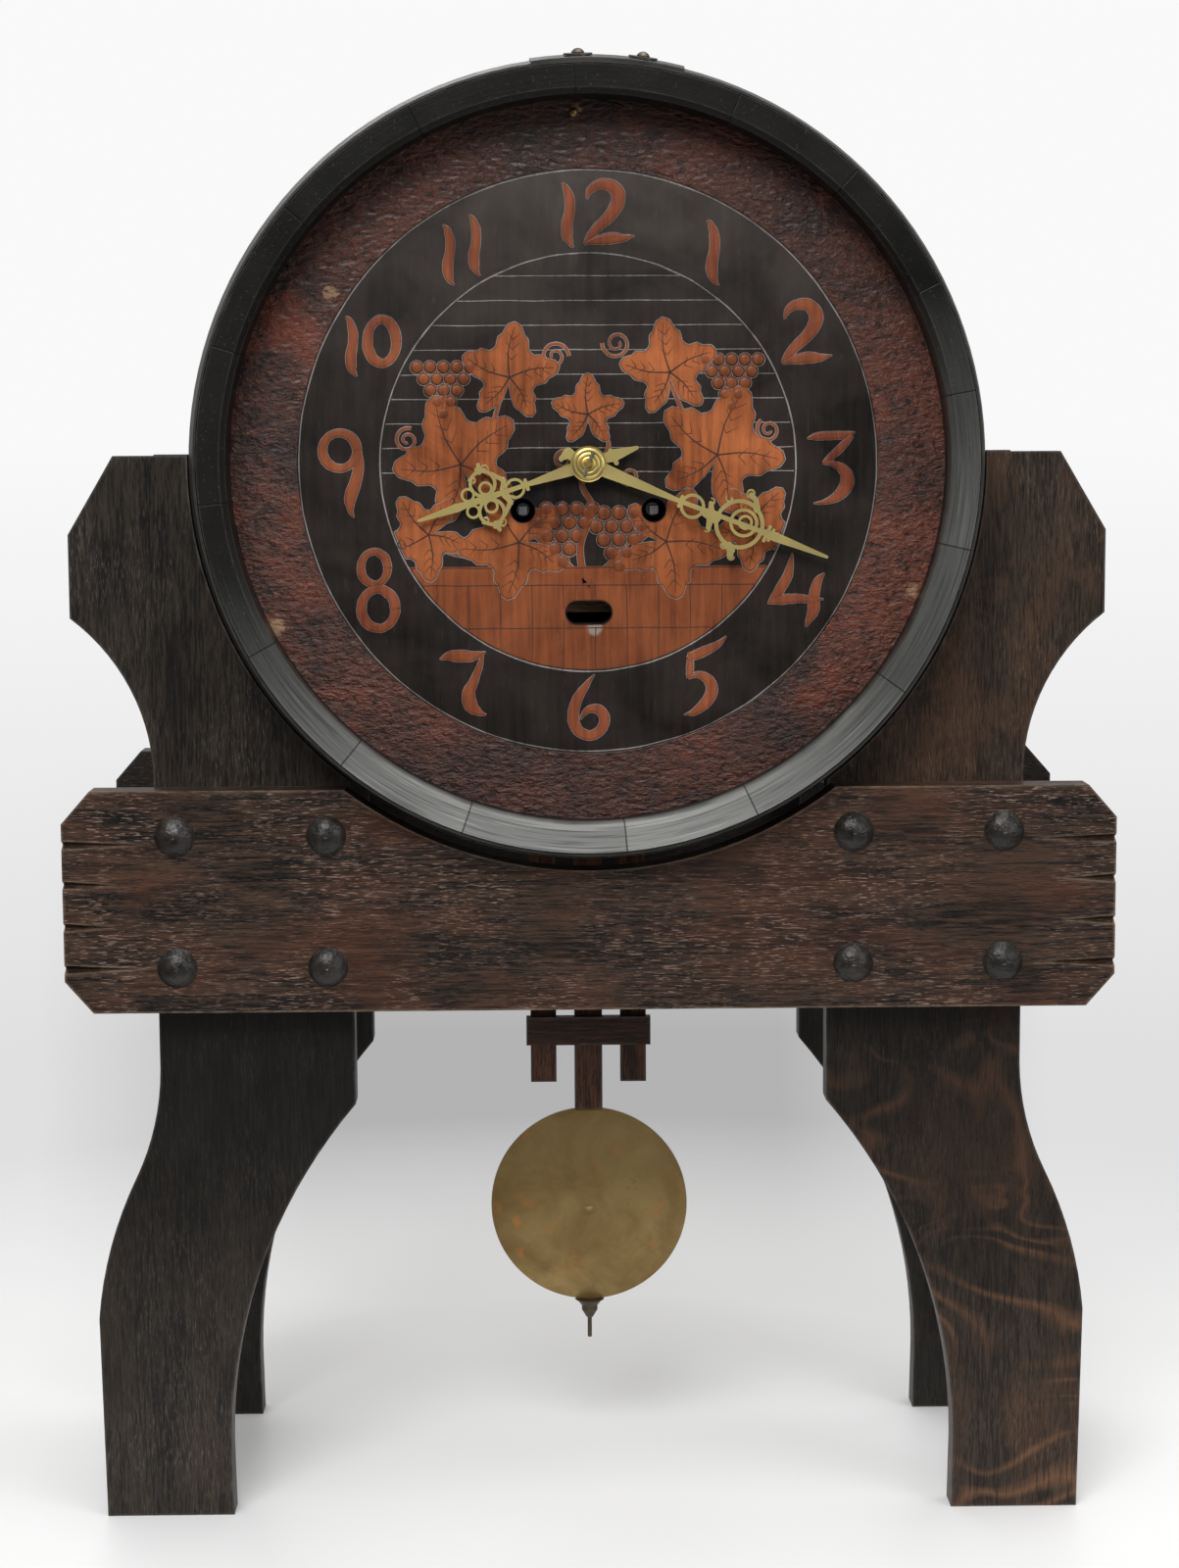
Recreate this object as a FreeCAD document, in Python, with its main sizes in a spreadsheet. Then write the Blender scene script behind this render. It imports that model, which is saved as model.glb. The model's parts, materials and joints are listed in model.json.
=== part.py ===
import FreeCAD, Part
import Sketcher
import math
import os

# Barrel clock on an oak trestle, lengths in millimetres.
# X points right, Y away from whoever reads the dial, Z up; the floor under the middle of the clock is zero.

STAND_SIZES = {
    "board_half_length": 260.0,
    "board_low": 264.5,
    "board_high": 110.5,
    "board_thick": 18.0,
    "chamfer_run": 14.0,
    "chamfer_rise": 16.0,
    "saddle_gap": 5.2,
    "seat_gap": 0.3,
    "gouge_wide": 4.5,
    "gouge_deep": 5.0,
    "gouge_long": 42.0,
    "gouge_short": 27.0,
    "leg_spacing": 140.0,
    "leg_thick": 16.0,
    "leg_inner": 118.5,
    "leg_top": 538.5,
    "wing_top_reach": 233.0,
    "wing_reach": 255.8,
    "wing_shoulder": 500.0,
    "wing_low": 459.0,
    "wing_sweep_radius": 101.0,
    "waist_reach": 216.3,
    "waist_high": 380.0,
    "hip_high": 232.0,
    "hip_radius": 131.0,
    "knee_reach": 229.6,
    "knee_high": 176.5,
    "shin_radius": 206.0,
    "ankle_reach": 250.0,
    "ankle_high": 104.0,
    "foot_outer": 248.0,
    "foot_inner": 183.6,
    "arch_inner": 184.3,
    "arch_low": 35.0,
    "arch_radius": 276.0,
    "arch_high": 213.7,
    "nail_head_radius": 10.0,
    "nail_head_high": 5.5,
    "nail_shank_radius": 1.9,
    "nail_shank_long": 30.0,
    "nail_inset": 22.5,
    "nail_outer_reach": 204.3,
    "nail_inner_reach": 130.0,
    "bore_ease": 0.05,
}

BARREL_SIZES = {
    "barrel_rise": 533.5,
    "barrel_length": 247.0,
    "stave_end_radius": 188.0,
    "stave_bilge_radius": 200.0,
    "stave_inner_bilge": 186.0,
    "stave_joint_gap": 0.1,
    "chime_radius": 174.3,
    "chime_deep": 26.0,
    "chime_chamfer": 2.7,
    "croze_deep": 3.0,
    "slot_half_wide": 50.0,
    "slot_half_deep": 15.0,
    "hoop_thick": 1.2,
    "hoop_gap": 0.35,
    "head_hoop_wide": 34.0,
    "head_hoop_setback": 1.0,
    "quarter_hoop_wide": 24.0,
    "quarter_hoop_inset": 22.0,
    "rivet_head_radius": 3.1,
    "rivet_head_high": 2.4,
    "rivet_shank_radius": 1.5,
    "washer_radius": 7.0,
    "washer_thick": 1.0,
    "washer_gap": 0.15,
}

HEAD_SIZES = {
    "head_thick": 14.0,
    "head_fit": 0.3,
    "dial_radius": 141.4,
    "band_deep": 0.8,
    "centre_hole_radius": 6.0,
    "key_hole_radius": 5.8,
    "arbor_side": 32.0,
    "arbor_drop": 22.5,
    "sight_hole_wide": 22.2,
    "sight_hole_high": 11.0,
    "sight_hole_drop": 72.5,
    "head_screw_reach": 151.0,
    "head_screw_drop": 74.0,
    "head_block_long": 26.0,
    "head_block_wide": 12.0,
    "head_block_deep": 12.0,
    "head_block_radius": 164.0,
    "door_wide": 150.0,
    "door_high": 190.0,
    "door_gap": 0.5,
    "door_ledge": 6.0,
    "door_ledge_thick": 4.0,
    "hinge_high": 40.0,
    "hinge_reach": 62.0,
    "leaf_wide": 16.0,
    "leaf_thick": 1.2,
    "knuckle_radius": 2.4,
    "knuckle_ease": 0.15,
    "hinge_pin_radius": 1.0,
    "knob_radius": 9.0,
    "knob_neck_radius": 4.0,
    "knob_long": 18.0,
    "knob_inset": 16.0,
    "screw_head_radius": 3.2,
    "screw_head_thick": 1.6,
    "screw_shank_radius": 1.6,
    "screw_slot_wide": 0.8,
    "screw_slot_deep": 0.7,
}

MOVEMENT_SIZES = {
    "cleat_deep": 14.0,
    "cleat_high": 16.0,
    "cleat_half_wide": 56.0,
    "plate_half_wide": 67.0,
    "plate_half_high": 61.0,
    "plate_ear_high": 12.0,
    "plate_corner": 8.0,
    "front_plate_thick": 2.3,
    "back_plate_thick": 2.3,
    "plate_gap": 40.0,
    "pillar_side": 61.0,
    "pillar_rise": 55.0,
    "pillar_radius": 4.0,
    "pillar_end_radius": 2.0,
    "nut_radius": 4.4,
    "nut_thick": 3.0,
    "movement_screw_side": 45.0,
    "pivot_radius": 0.8,
    "arbor_radius": 1.2,
    "arbor_shake": 0.3,
    "wheel_thick": 1.4,
    "great_wheel_thick": 2.0,
    "pinion_long": 3.6,
    "winding_radius": 3.2,
    "winding_rear_radius": 1.6,
    "square_side": 4.0,
    "square_setback": 2.5,
    "ratchet_radius": 12.0,
    "ratchet_tooth": 1.6,
    "click_thick": 1.5,
    "click_reach": 20.0,
    "click_stud_radius": 1.5,
    "spring_outer_radius": 23.0,
    "spring_inner_radius": 6.0,
    "spring_strip": 0.6,
    "spring_wide": 24.0,
    "spring_pitch": 1.7,
    "spring_shake": 0.7,
    "time_great_depth": 5.2,
    "strike_great_depth": 31.2,
    "centre_wheel_depth": 37.0,
    "third_wheel_depth": 1.4,
    "escape_wheel_depth": 34.2,
    "pin_wheel_depth": 1.4,
    "warning_wheel_depth": 9.2,
    "hub_radius": 3.2,
    "fine_module": 0.5,
    "escape_radius": 13.0,
    "escape_tooth": 2.6,
    "anchor_distance": 18.4,
    "anchor_thick": 2.2,
    "pallet_clearance": 0.1,
    "crutch_long": 60.0,
    "crutch_offset": 4.3,
    "crutch_wide": 3.0,
    "crutch_thick": 1.2,
    "crutch_pin_radius": 1.2,
    "crutch_pin_long": 24.4,
    "anchor_hole_radius": 2.6,
    "cannon_outer_radius": 2.8,
    "centre_front_radius": 1.5,
    "hour_pipe_radius": 4.0,
    "minute_stud_long": 11.5,
    "motion_module": 0.6,
    "motion_wheel_thick": 1.2,
    "hour_wheel_standoff": 7.6,
    "minute_wheel_standoff": 3.2,
}

STRIKE_SIZES = {
    "pin_circle_radius": 14.0,
    "lifting_pin_radius": 0.7,
    "lifting_pin_long": 2.0,
    "hammer_side": 22.0,
    "hammer_arm_long": 101.5,
    "hammer_arm_wide": 3.0,
    "hammer_arm_thick": 1.5,
    "hammer_arm_offset": 4.4,
    "hammer_tail_gap": 0.3,
    "hammer_head_radius": 5.0,
    "hammer_head_long": 13.0,
    "hammer_gap": 1.0,
    "fly_half_wide": 9.0,
    "fly_offset": 3.0,
    "fly_long": 14.0,
    "fly_thick": 0.6,
    "count_wheel_offset": 0.5,
    "count_disc_offset": 2.9,
    "count_disc_radius": 23.0,
    "count_notch_deep": 3.0,
    "count_notch_wide": 1.4,
    "count_disc_thick": 1.2,
    "count_lever_reach": 31.0,
    "count_lever_wide": 2.4,
    "count_stud_radius": 2.0,
    "stud_long": 5.0,
    "gong_radius": 36.0,
    "gong_wire_radius": 1.2,
    "gong_side": 101.0,
    "gong_drop": 85.0,
    "gong_start_radius": 4.5,
    "gong_bend_radius": 2.5,
    "gong_tang_long": 8.0,
    "gong_post_gap": 1.0,
    "gong_post_radius": 5.0,
    "gong_base_radius": 14.0,
    "gong_base_thick": 5.0,
}

HAND_SIZES = {
    "hour_hand_standoff": 4.0,
    "hand_thick": 1.2,
    "hand_gap": 2.2,
    "hour_hand_long": 87.5,
    "minute_hand_long": 125.5,
    "hand_hub_radius": 8.2,
    "collet_radius": 8.7,
    "collet_thick": 1.6,
    "taper_pin_radius": 0.9,
    "taper_pin_long": 13.0,
}

PENDULUM_SIZES = {
    "stick_wide": 14.7,
    "stick_thick": 8.0,
    "stick_low": 191.2,
    "stick_top_drop": 12.0,
    "strip_wide": 13.6,
    "strip_centre": 23.8,
    "strip_low": 206.0,
    "strip_high": 440.0,
    "crossbar_half_wide": 32.8,
    "crossbar_high": 15.0,
    "crossbar_thick": 6.0,
    "lower_crossbar": 227.0,
    "upper_crossbar": 405.0,
    "bob_rise": 138.8,
    "bob_radius": 52.3,
    "bob_half_thick": 8.0,
    "bob_edge_half": 1.2,
    "rod_radius": 1.15,
    "rod_low": 65.2,
    "rod_socket": 30.0,
    "cup_radius": 7.2,
    "cup_high": 3.3,
    "nut_collar_radius": 4.25,
    "nut_collar_high": 2.9,
    "nut_cone_high": 4.0,
    "nut_tip_radius": 1.9,
    "suspension_wide": 8.0,
    "suspension_strip": 0.4,
    "chop_thick": 3.0,
    "chop_high": 6.0,
    "suspension_long": 20.5,
    "suspension_pin_radius": 1.0,
    "fork_thick": 3.0,
    "fork_gap": 1.0,
    "cock_half_wide": 4.5,
    "cock_high": 5.0,
    "cock_rise": 8.0,
    "cock_foot_thick": 2.0,
    "cock_foot_rise": 3.0,
    "pivot_plate_offset": 8.9,
    "pivot_plate_drop": 4.0,
    "crutch_slot_wide": 2.5,
    "crutch_slot_high": 8.0,
}

# Joints between the staves, as shares of a turn counted from the right-hand side over the top.
STAVE_JOINT_SHARES = (0.029, 0.075, 0.131, 0.187, 0.255, 0.324, 0.388, 0.451,
                      0.516, 0.581, 0.639, 0.696, 0.765, 0.821, 0.900, 0.964)

# Heights of the gouged grooves in a board's ends, as shares of the board's height.
LONG_GOUGE_SHARES = (0.20, 0.76)
SHORT_GOUGE_SHARES = (0.39, 0.58)

# Teeth of the wheels and pinions.
GREAT_TEETH = 84
CENTRE_PINION = 12
CENTRE_TEETH = 80
THIRD_PINION = 8
THIRD_TEETH = 72
ESCAPE_PINION = 8
ESCAPE_TEETH = 30
CANNON_TEETH = 12
MINUTE_TEETH = 36
MINUTE_PINION = 10
HOUR_TEETH = 40
PIN_WHEEL_PINION = 12
PIN_WHEEL_TEETH = 72
WARNING_PINION = 8
WARNING_TEETH = 64
FLY_PINION = 8
LIFTING_PINS = 12
COUNT_PINION = 12
COUNT_TEETH = 78
RATCHET_TEETH = 24
GONG_HALF_TURNS = 9

# Tooth forms: thickness as shares of the tooth pitch, heights as shares of the module.
TOOTH_PITCH_SHARE = 0.36
TOOTH_TIP_SHARE = 0.15
TOOTH_ADDENDUM_SHARE = 0.9
TOOTH_DEDENDUM_SHARE = 1.4

# How far a tooth or a steep face stands along its pitch.
ESCAPE_PHASE_SHARE = 0.75
ESCAPE_TIP_SHARE = 0.073
RATCHET_STEEP_SHARE = 0.05

# The hands, as shares of their length: rings by place along and across, radius and stroke;
# limbs by place and half width at either end.
MINUTE_RING_SHARES = (
    (0.434, -0.006, 0.049, 0.012),
    (0.629, -0.005, 0.097, 0.015),
    (0.643, 0.006, 0.056, 0.012),
    (0.648, 0.010, 0.029, 0.010),
)
MINUTE_LIMB_SHARES = (
    (0.050, 0.000, 0.027, 0.385, -0.005, 0.008),
    (0.385, -0.024, 0.007, 0.385, 0.014, 0.007),
    (0.385, -0.005, 0.009, 0.740, 0.000, 0.009),
    (0.485, -0.010, 0.016, 0.530, -0.014, 0.024),
    (0.515, -0.010, 0.014, 0.497, 0.031, 0.009),
    (0.515, -0.020, 0.014, 0.522, -0.060, 0.010),
    (0.672, 0.072, 0.013, 0.655, 0.106, 0.009),
    (0.655, 0.106, 0.009, 0.631, 0.116, 0.011),
    (0.622, -0.095, 0.013, 0.640, -0.128, 0.012),
    (0.600, -0.098, 0.009, 0.640, -0.110, 0.011),
    (0.740, -0.030, 0.007, 0.744, 0.028, 0.007),
    (0.756, -0.022, 0.006, 0.762, 0.022, 0.006),
    (0.730, 0.000, 0.012, 0.775, 0.000, 0.018),
    (0.775, 0.000, 0.018, 0.992, 0.000, 0.006),
    (-0.050, 0.000, 0.016, -0.088, 0.012, 0.020),
    (-0.088, 0.012, 0.020, -0.104, -0.016, 0.010),
)
HOUR_RING_SHARES = (
    (0.430, 0.000, 0.058, 0.015),
    (0.592, 0.082, 0.078, 0.019),
    (0.592, -0.082, 0.078, 0.019),
    (0.585, 0.052, 0.040, 0.014),
    (0.585, -0.052, 0.040, 0.014),
    (0.690, 0.048, 0.040, 0.014),
    (0.690, -0.048, 0.040, 0.014),
)
HOUR_LIMB_SHARES = (
    (0.080, 0.000, 0.036, 0.362, 0.000, 0.012),
    (0.362, -0.026, 0.010, 0.362, 0.026, 0.010),
    (0.362, 0.000, 0.012, 0.500, 0.000, 0.013),
    (0.500, 0.000, 0.013, 0.620, 0.000, 0.022),
    (0.620, 0.000, 0.020, 0.740, 0.000, 0.012),
    (0.500, 0.020, 0.011, 0.474, 0.062, 0.013),
    (0.500, -0.020, 0.011, 0.474, -0.062, 0.013),
    (0.530, 0.120, 0.011, 0.474, 0.062, 0.013),
    (0.530, -0.120, 0.011, 0.474, -0.062, 0.013),
    (0.590, 0.150, 0.016, 0.582, 0.190, 0.010),
    (0.590, -0.150, 0.016, 0.582, -0.190, 0.010),
    (0.560, 0.150, 0.011, 0.600, 0.165, 0.012),
    (0.560, -0.150, 0.011, 0.600, -0.165, 0.012),
    (0.720, 0.000, 0.018, 0.770, 0.000, 0.024),
    (0.770, 0.000, 0.024, 0.992, 0.000, 0.008),
    (-0.080, 0.000, 0.024, -0.150, 0.000, 0.034),
    (-0.140, -0.030, 0.013, -0.150, 0.044, 0.013),
    (-0.150, 0.000, 0.034, -0.284, 0.000, 0.010),
)

# Directions in degrees, seen from the dial and counted from the right-hand side over the top.
THIRD_DIRECTION = 46.0
PIN_WHEEL_DIRECTION = 93.0
WARNING_DIRECTION = 75.0
FLY_DIRECTION = 150.0
COUNT_DIRECTION = -110.0
MINUTE_WHEEL_DIRECTION = 135.0
HEAD_LAP_DIRECTION = 90.0
QUARTER_LAP_DIRECTION = 315.0
LAP_BEFORE = 8.0
LAP_AFTER = 14.0
RIVET_BEFORE = 1.2
RIVET_AFTER = 8.0
PALLET_DIRECTION = 45.0
PALLET_LEAN = 25.0
CLICK_SPAN = 38.0
TIME_CLICK_DIRECTION = 250.0
STRIKE_CLICK_DIRECTION = 290.0
LEVER_DIRECTION = 35.0
BEAK_DIRECTION = 95.0
TAPER_PIN_DIRECTION = 68.0
HOUR_HAND_DIRECTION = 198.1
MINUTE_HAND_DIRECTION = -21.5
FULL_TURN = 360.0
QUARTER_TURN = 90.0

# Lengths and places that follow from the driving ones.
DERIVED = {
    "board_top": "board_low + board_high",
    "half_barrel": "barrel_length / 2",
    "stave_bow": "stave_bilge_radius - stave_end_radius",
    "bow_radius": "(half_barrel ^ 2 + stave_bow ^ 2) / (2 * stave_bow)",
    "plank_inside": "leg_spacing / 2",
    "plank_outside": "plank_inside + leg_thick",
    "stand_half": "plank_outside + board_thick",
    "radius_at_board": "stave_bilge_radius - bow_radius + sqrt(bow_radius ^ 2 - plank_outside ^ 2)",
    "radius_at_plank": "stave_bilge_radius - bow_radius + sqrt(bow_radius ^ 2 - plank_inside ^ 2)",
    "saddle_radius": "radius_at_board + saddle_gap",
    "saddle_reach": "sqrt(saddle_radius ^ 2 - (barrel_rise - board_top) ^ 2)",
    "cradle_radius": "radius_at_plank + seat_gap",
    "cradle_low": "barrel_rise - sqrt(cradle_radius ^ 2 - leg_inner ^ 2)",
    "cradle_top_reach": "sqrt(cradle_radius ^ 2 - (leg_top - barrel_rise) ^ 2)",
    "head_front": "chime_deep - half_barrel",
    "head_back": "head_front + head_thick",
    "head_radius": "chime_radius + croze_deep - head_fit",
    "plate_front": "head_back + cleat_deep",
    "plate_inside": "plate_front + front_plate_thick",
    "back_inside": "plate_inside + plate_gap",
    "back_outside": "back_inside + back_plate_thick",
    "plate_low": "barrel_rise - plate_half_high",
    "plate_high": "barrel_rise + plate_half_high",
    "pivot_hole": "pivot_radius + bore_ease",
    "arbor_level": "barrel_rise - arbor_drop",
    "great_distance": "sqrt(arbor_side ^ 2 + arbor_drop ^ 2)",
    "great_module": "2 * great_distance / %d" % (GREAT_TEETH + CENTRE_PINION),
    "third_distance": "fine_module * %d / 2" % (CENTRE_TEETH + THIRD_PINION),
    "third_x": "third_distance * cos(%r deg)" % THIRD_DIRECTION,
    "third_z": "barrel_rise + third_distance * sin(%r deg)" % THIRD_DIRECTION,
    "escape_distance": "fine_module * %d / 2" % (THIRD_TEETH + ESCAPE_PINION),
    "escape_z": "third_z + sqrt(escape_distance ^ 2 - third_x ^ 2)",
    "anchor_z": "escape_z + anchor_distance",
    "pin_wheel_x": "great_distance * cos(%r deg) - arbor_side" % PIN_WHEEL_DIRECTION,
    "pin_wheel_z": "arbor_level + great_distance * sin(%r deg)" % PIN_WHEEL_DIRECTION,
    "warning_distance": "fine_module * %d / 2" % (PIN_WHEEL_TEETH + WARNING_PINION),
    "warning_x": "pin_wheel_x + warning_distance * cos(%r deg)" % WARNING_DIRECTION,
    "warning_z": "pin_wheel_z + warning_distance * sin(%r deg)" % WARNING_DIRECTION,
    "fly_distance": "fine_module * %d / 2" % (WARNING_TEETH + FLY_PINION),
    "fly_x": "warning_x + fly_distance * cos(%r deg)" % FLY_DIRECTION,
    "fly_z": "warning_z + fly_distance * sin(%r deg)" % FLY_DIRECTION,
    "count_distance": "fine_module * %d / 2" % (COUNT_TEETH + COUNT_PINION),
    "count_x": "pin_wheel_x + count_distance * cos(%r deg)" % COUNT_DIRECTION,
    "count_z": "pin_wheel_z + count_distance * sin(%r deg)" % COUNT_DIRECTION,
    "motion_distance": "motion_module * %d / 2" % (CANNON_TEETH + MINUTE_TEETH),
    "hour_module": "2 * motion_distance / %d" % (MINUTE_PINION + HOUR_TEETH),
    "minute_post_x": "motion_distance * cos(%r deg)" % MINUTE_WHEEL_DIRECTION,
    "minute_post_z": "barrel_rise + motion_distance * sin(%r deg)" % MINUTE_WHEEL_DIRECTION,
    "hammer_x": "pin_wheel_x - hammer_side",
    "gong_x": "0 - gong_side",
    "gong_z": "barrel_rise - gong_drop",
    "crutch_z": "anchor_z - crutch_long",
}

GROUPS = (STAND_SIZES, BARREL_SIZES, HEAD_SIZES, MOVEMENT_SIZES, STRIKE_SIZES, HAND_SIZES, PENDULUM_SIZES)

Vector = FreeCAD.Vector
UP = Vector(0, 0, 1)
BACKWARD = Vector(0, 1, 0)
FORWARD = Vector(0, -1, 0)
RIGHT = Vector(1, 0, 0)
ORIGIN = Vector(0, 0, 0)

doc = FreeCAD.newDocument("barrel_clock")
sheet = doc.addObject("Spreadsheet::Sheet", "sizes")


class Size:
    """A length together with the formula, in cells of the sheet, that it comes from."""

    def __init__(self, value, text):
        self.value = value
        self.text = text

    def __add__(self, other):
        return Size(self.value + other.value, "(%s + %s)" % (self.text, other.text))

    def __sub__(self, other):
        return Size(self.value - other.value, "(%s - %s)" % (self.text, other.text))

    def __neg__(self):
        return Size(-self.value, "(0 - %s)" % self.text)

    def __mul__(self, share):
        return Size(self.value * share, "(%s * %r)" % (self.text, share))


class Names:
    """Named values, read as attributes."""


ZERO = Size(0.0, "0")
s = Names()
n = Names()


def fill_sheet():
    row = 1
    for group in GROUPS:
        for name, value in group.items():
            sheet.set("A%d" % row, name)
            sheet.set("B%d" % row, "%r" % value)
            sheet.setAlias("B%d" % row, name)
            row += 1
    for name, formula in DERIVED.items():
        sheet.set("A%d" % row, name)
        sheet.set("B%d" % row, "=" + formula)
        sheet.setAlias("B%d" % row, name)
        row += 1
    doc.recompute()
    for group in GROUPS + (DERIVED,):
        for name in group:
            value = float(sheet.get(name))
            setattr(s, name, Size(value, "sizes." + name))
            setattr(n, name, value)


def place(thing, **bases):
    for axis, where in bases.items():
        setattr(thing.Placement.Base, axis, where.value)
        thing.setExpression("Placement.Base." + axis, where.text)


def origin_plane(body, role):
    return [item for item in body.Origin.OriginFeatures if item.Role == role][0]


def bind(sketch, constraint, size):
    number = sketch.addConstraint(constraint)
    sketch.setExpression("Constraints[%d]" % number, size.text)


def end_at(sketch, line, point):
    """Which end of a line or arc lies at a point."""
    return 1 if (sketch.getPoint(line, 1) - point).Length < (sketch.getPoint(line, 2) - point).Length else 2


def arc_between(a, b, radius, side):
    """The short arc from a to b, bulging to the left (side 1) or to the right (side -1)."""
    chord = b - a
    left = Vector(-chord.y, chord.x, 0).normalize()
    rise = radius - math.sqrt(radius ** 2 - (chord.Length / 2) ** 2)
    return Part.Arc(a, (a + b) / 2 + left * (side * rise), b)


def draw(body, role, corners, circles=()):
    """A closed outline with every corner and radius tied to the sheet; a corner may start an arc."""
    sketch = body.newObject("Sketcher::SketchObject", body.Name + "_outline")
    sketch.AttachmentSupport = [(origin_plane(body, role), "")]
    sketch.MapMode = "FlatFace"
    points = [Vector(corner[0].value, corner[1].value, 0) for corner in corners]
    lines = []
    for i, corner in enumerate(corners):
        following = points[(i + 1) % len(points)]
        if len(corner) > 2:
            piece = arc_between(points[i], following, corner[2].value, corner[3])
        else:
            piece = Part.LineSegment(points[i], following)
        lines.append(sketch.addGeometry(piece, False))
    for i, corner in enumerate(corners):
        line = lines[i]
        ahead = lines[(i + 1) % len(lines)]
        start = end_at(sketch, line, points[i])
        bind(sketch, Sketcher.Constraint("DistanceX", -1, 1, line, start, corner[0].value), corner[0])
        bind(sketch, Sketcher.Constraint("DistanceY", -1, 1, line, start, corner[1].value), corner[1])
        meet = end_at(sketch, ahead, points[(i + 1) % len(points)])
        sketch.addConstraint(Sketcher.Constraint("Coincident", line, 3 - start, ahead, meet))
        if len(corner) > 2:
            bind(sketch, Sketcher.Constraint("Radius", line, corner[2].value), corner[2])
    for x, z, radius in circles:
        circle = Part.Circle(Vector(x.value, z.value, 0), UP, radius.value)
        ring = sketch.addGeometry(circle, False)
        bind(sketch, Sketcher.Constraint("DistanceX", -1, 1, ring, 3, x.value), x)
        bind(sketch, Sketcher.Constraint("DistanceY", -1, 1, ring, 3, z.value), z)
        bind(sketch, Sketcher.Constraint("Radius", ring, radius.value), radius)
    return sketch


def plank(name, corners, low_y, thick, circles=()):
    """A flat piece with its outline seen from the dial, running backward from low_y."""
    body = doc.addObject("PartDesign::Body", name)
    sketch = draw(body, "XZ_Plane", corners, circles)
    pad = body.newObject("PartDesign::Pad", name + "_pad")
    pad.Profile = sketch
    pad.setExpression("Length", thick.text)
    pad.Reversed = True
    place(body, y=low_y)
    doc.recompute()
    return body


def turned(name, role, corners):
    """A piece turned about the up axis of its outline."""
    body = doc.addObject("PartDesign::Body", name)
    sketch = draw(body, role, corners)
    turn = body.newObject("PartDesign::Revolution", name + "_turn")
    turn.Profile = sketch
    turn.ReferenceAxis = (sketch, ["V_Axis"])
    turn.Angle = FULL_TURN
    doc.recompute()
    return body


def block(name, low, high):
    """A box between two corners."""
    box = doc.addObject("Part::Box", name)
    for side, axis, a, b in zip(("Length", "Width", "Height"), "xyz", low, high):
        box.setExpression(side, (b - a).text)
        place(box, **{axis: a})
    doc.recompute()
    return box


def feature(name, shape):
    piece = doc.addObject("Part::Feature", name)
    piece.Shape = shape
    return piece


def cut(name, base, shape):
    """A piece with the spaces of a shape taken out of it."""
    tool = feature(name + "_spaces", shape)
    result = doc.addObject("Part::Cut", name + "_cut")
    result.Base = base
    result.Tool = tool
    doc.recompute()
    return result


nodes = {}


def node(name, piece):
    piece.Label = name
    nodes[name] = piece
    return piece


def rod(x, z, low_y, high_y, radius):
    return Part.makeCylinder(radius, high_y - low_y, Vector(x, low_y, z), BACKWARD)


def tube(x, z, low_y, high_y, outer, inner):
    return rod(x, z, low_y, high_y, outer).cut(rod(x, z, low_y, high_y, inner))


def bar(x, y, z):
    """A box between pairs of coordinates."""
    return Part.makeBox(x[1] - x[0], y[1] - y[0], z[1] - z[0], Vector(x[0], y[0], z[0]))


def fused(shapes):
    whole = shapes[0].fuse(shapes[1:])
    return whole.removeSplitter()


def chain(points):
    """A closed face whose corners are points; a point marked as a bend is the middle of an arc."""
    edges = []
    ring = list(points) + [points[0]]
    i = 0
    while i < len(ring) - 1:
        if len(ring[i + 1]) > 2:
            a, middle, b = (Vector(p[0], 0, p[1]) for p in ring[i:i + 3])
            edges.append(Part.Arc(a, middle, b).toShape())
            i += 2
        else:
            edges.append(Part.LineSegment(Vector(ring[i][0], 0, ring[i][1]),
                                          Vector(ring[i + 1][0], 0, ring[i + 1][1])).toShape())
            i += 1
    return Part.Face(Part.Wire(edges))


def lathe(points, base, direction):
    """A solid turned from (radius, height) points about an axis that leaves base in a direction."""
    solid = chain(points).revolve(ORIGIN, UP, FULL_TURN)
    solid.Placement = FreeCAD.Placement(base, FreeCAD.Rotation(UP, direction))
    return solid


def dome(radius, low, rise):
    """Profile points of a round head whose curve is centred on its axis."""
    ball = (radius ** 2 + rise ** 2) / (2 * rise)
    middle = low + rise - ball + math.sqrt(ball ** 2 - (radius / 2) ** 2)
    return [(radius, low), (radius / 2, middle, "bend"), (0, low + rise)]


def slice_at(points, low_y, thick, x, z):
    """A flat plate from (x, z) points about a centre, running backward from low_y."""
    face = Part.Face(Part.makePolygon([Vector(px + x, low_y, pz + z) for px, pz in points + points[:1]]))
    return face.extrude(BACKWARD * thick)


def polar(radius, degrees):
    return radius * math.cos(math.radians(degrees)), radius * math.sin(math.radians(degrees))


def step(start, distance, degrees):
    dx, dz = polar(distance, degrees)
    return start[0] + dx, start[1] + dz


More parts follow.
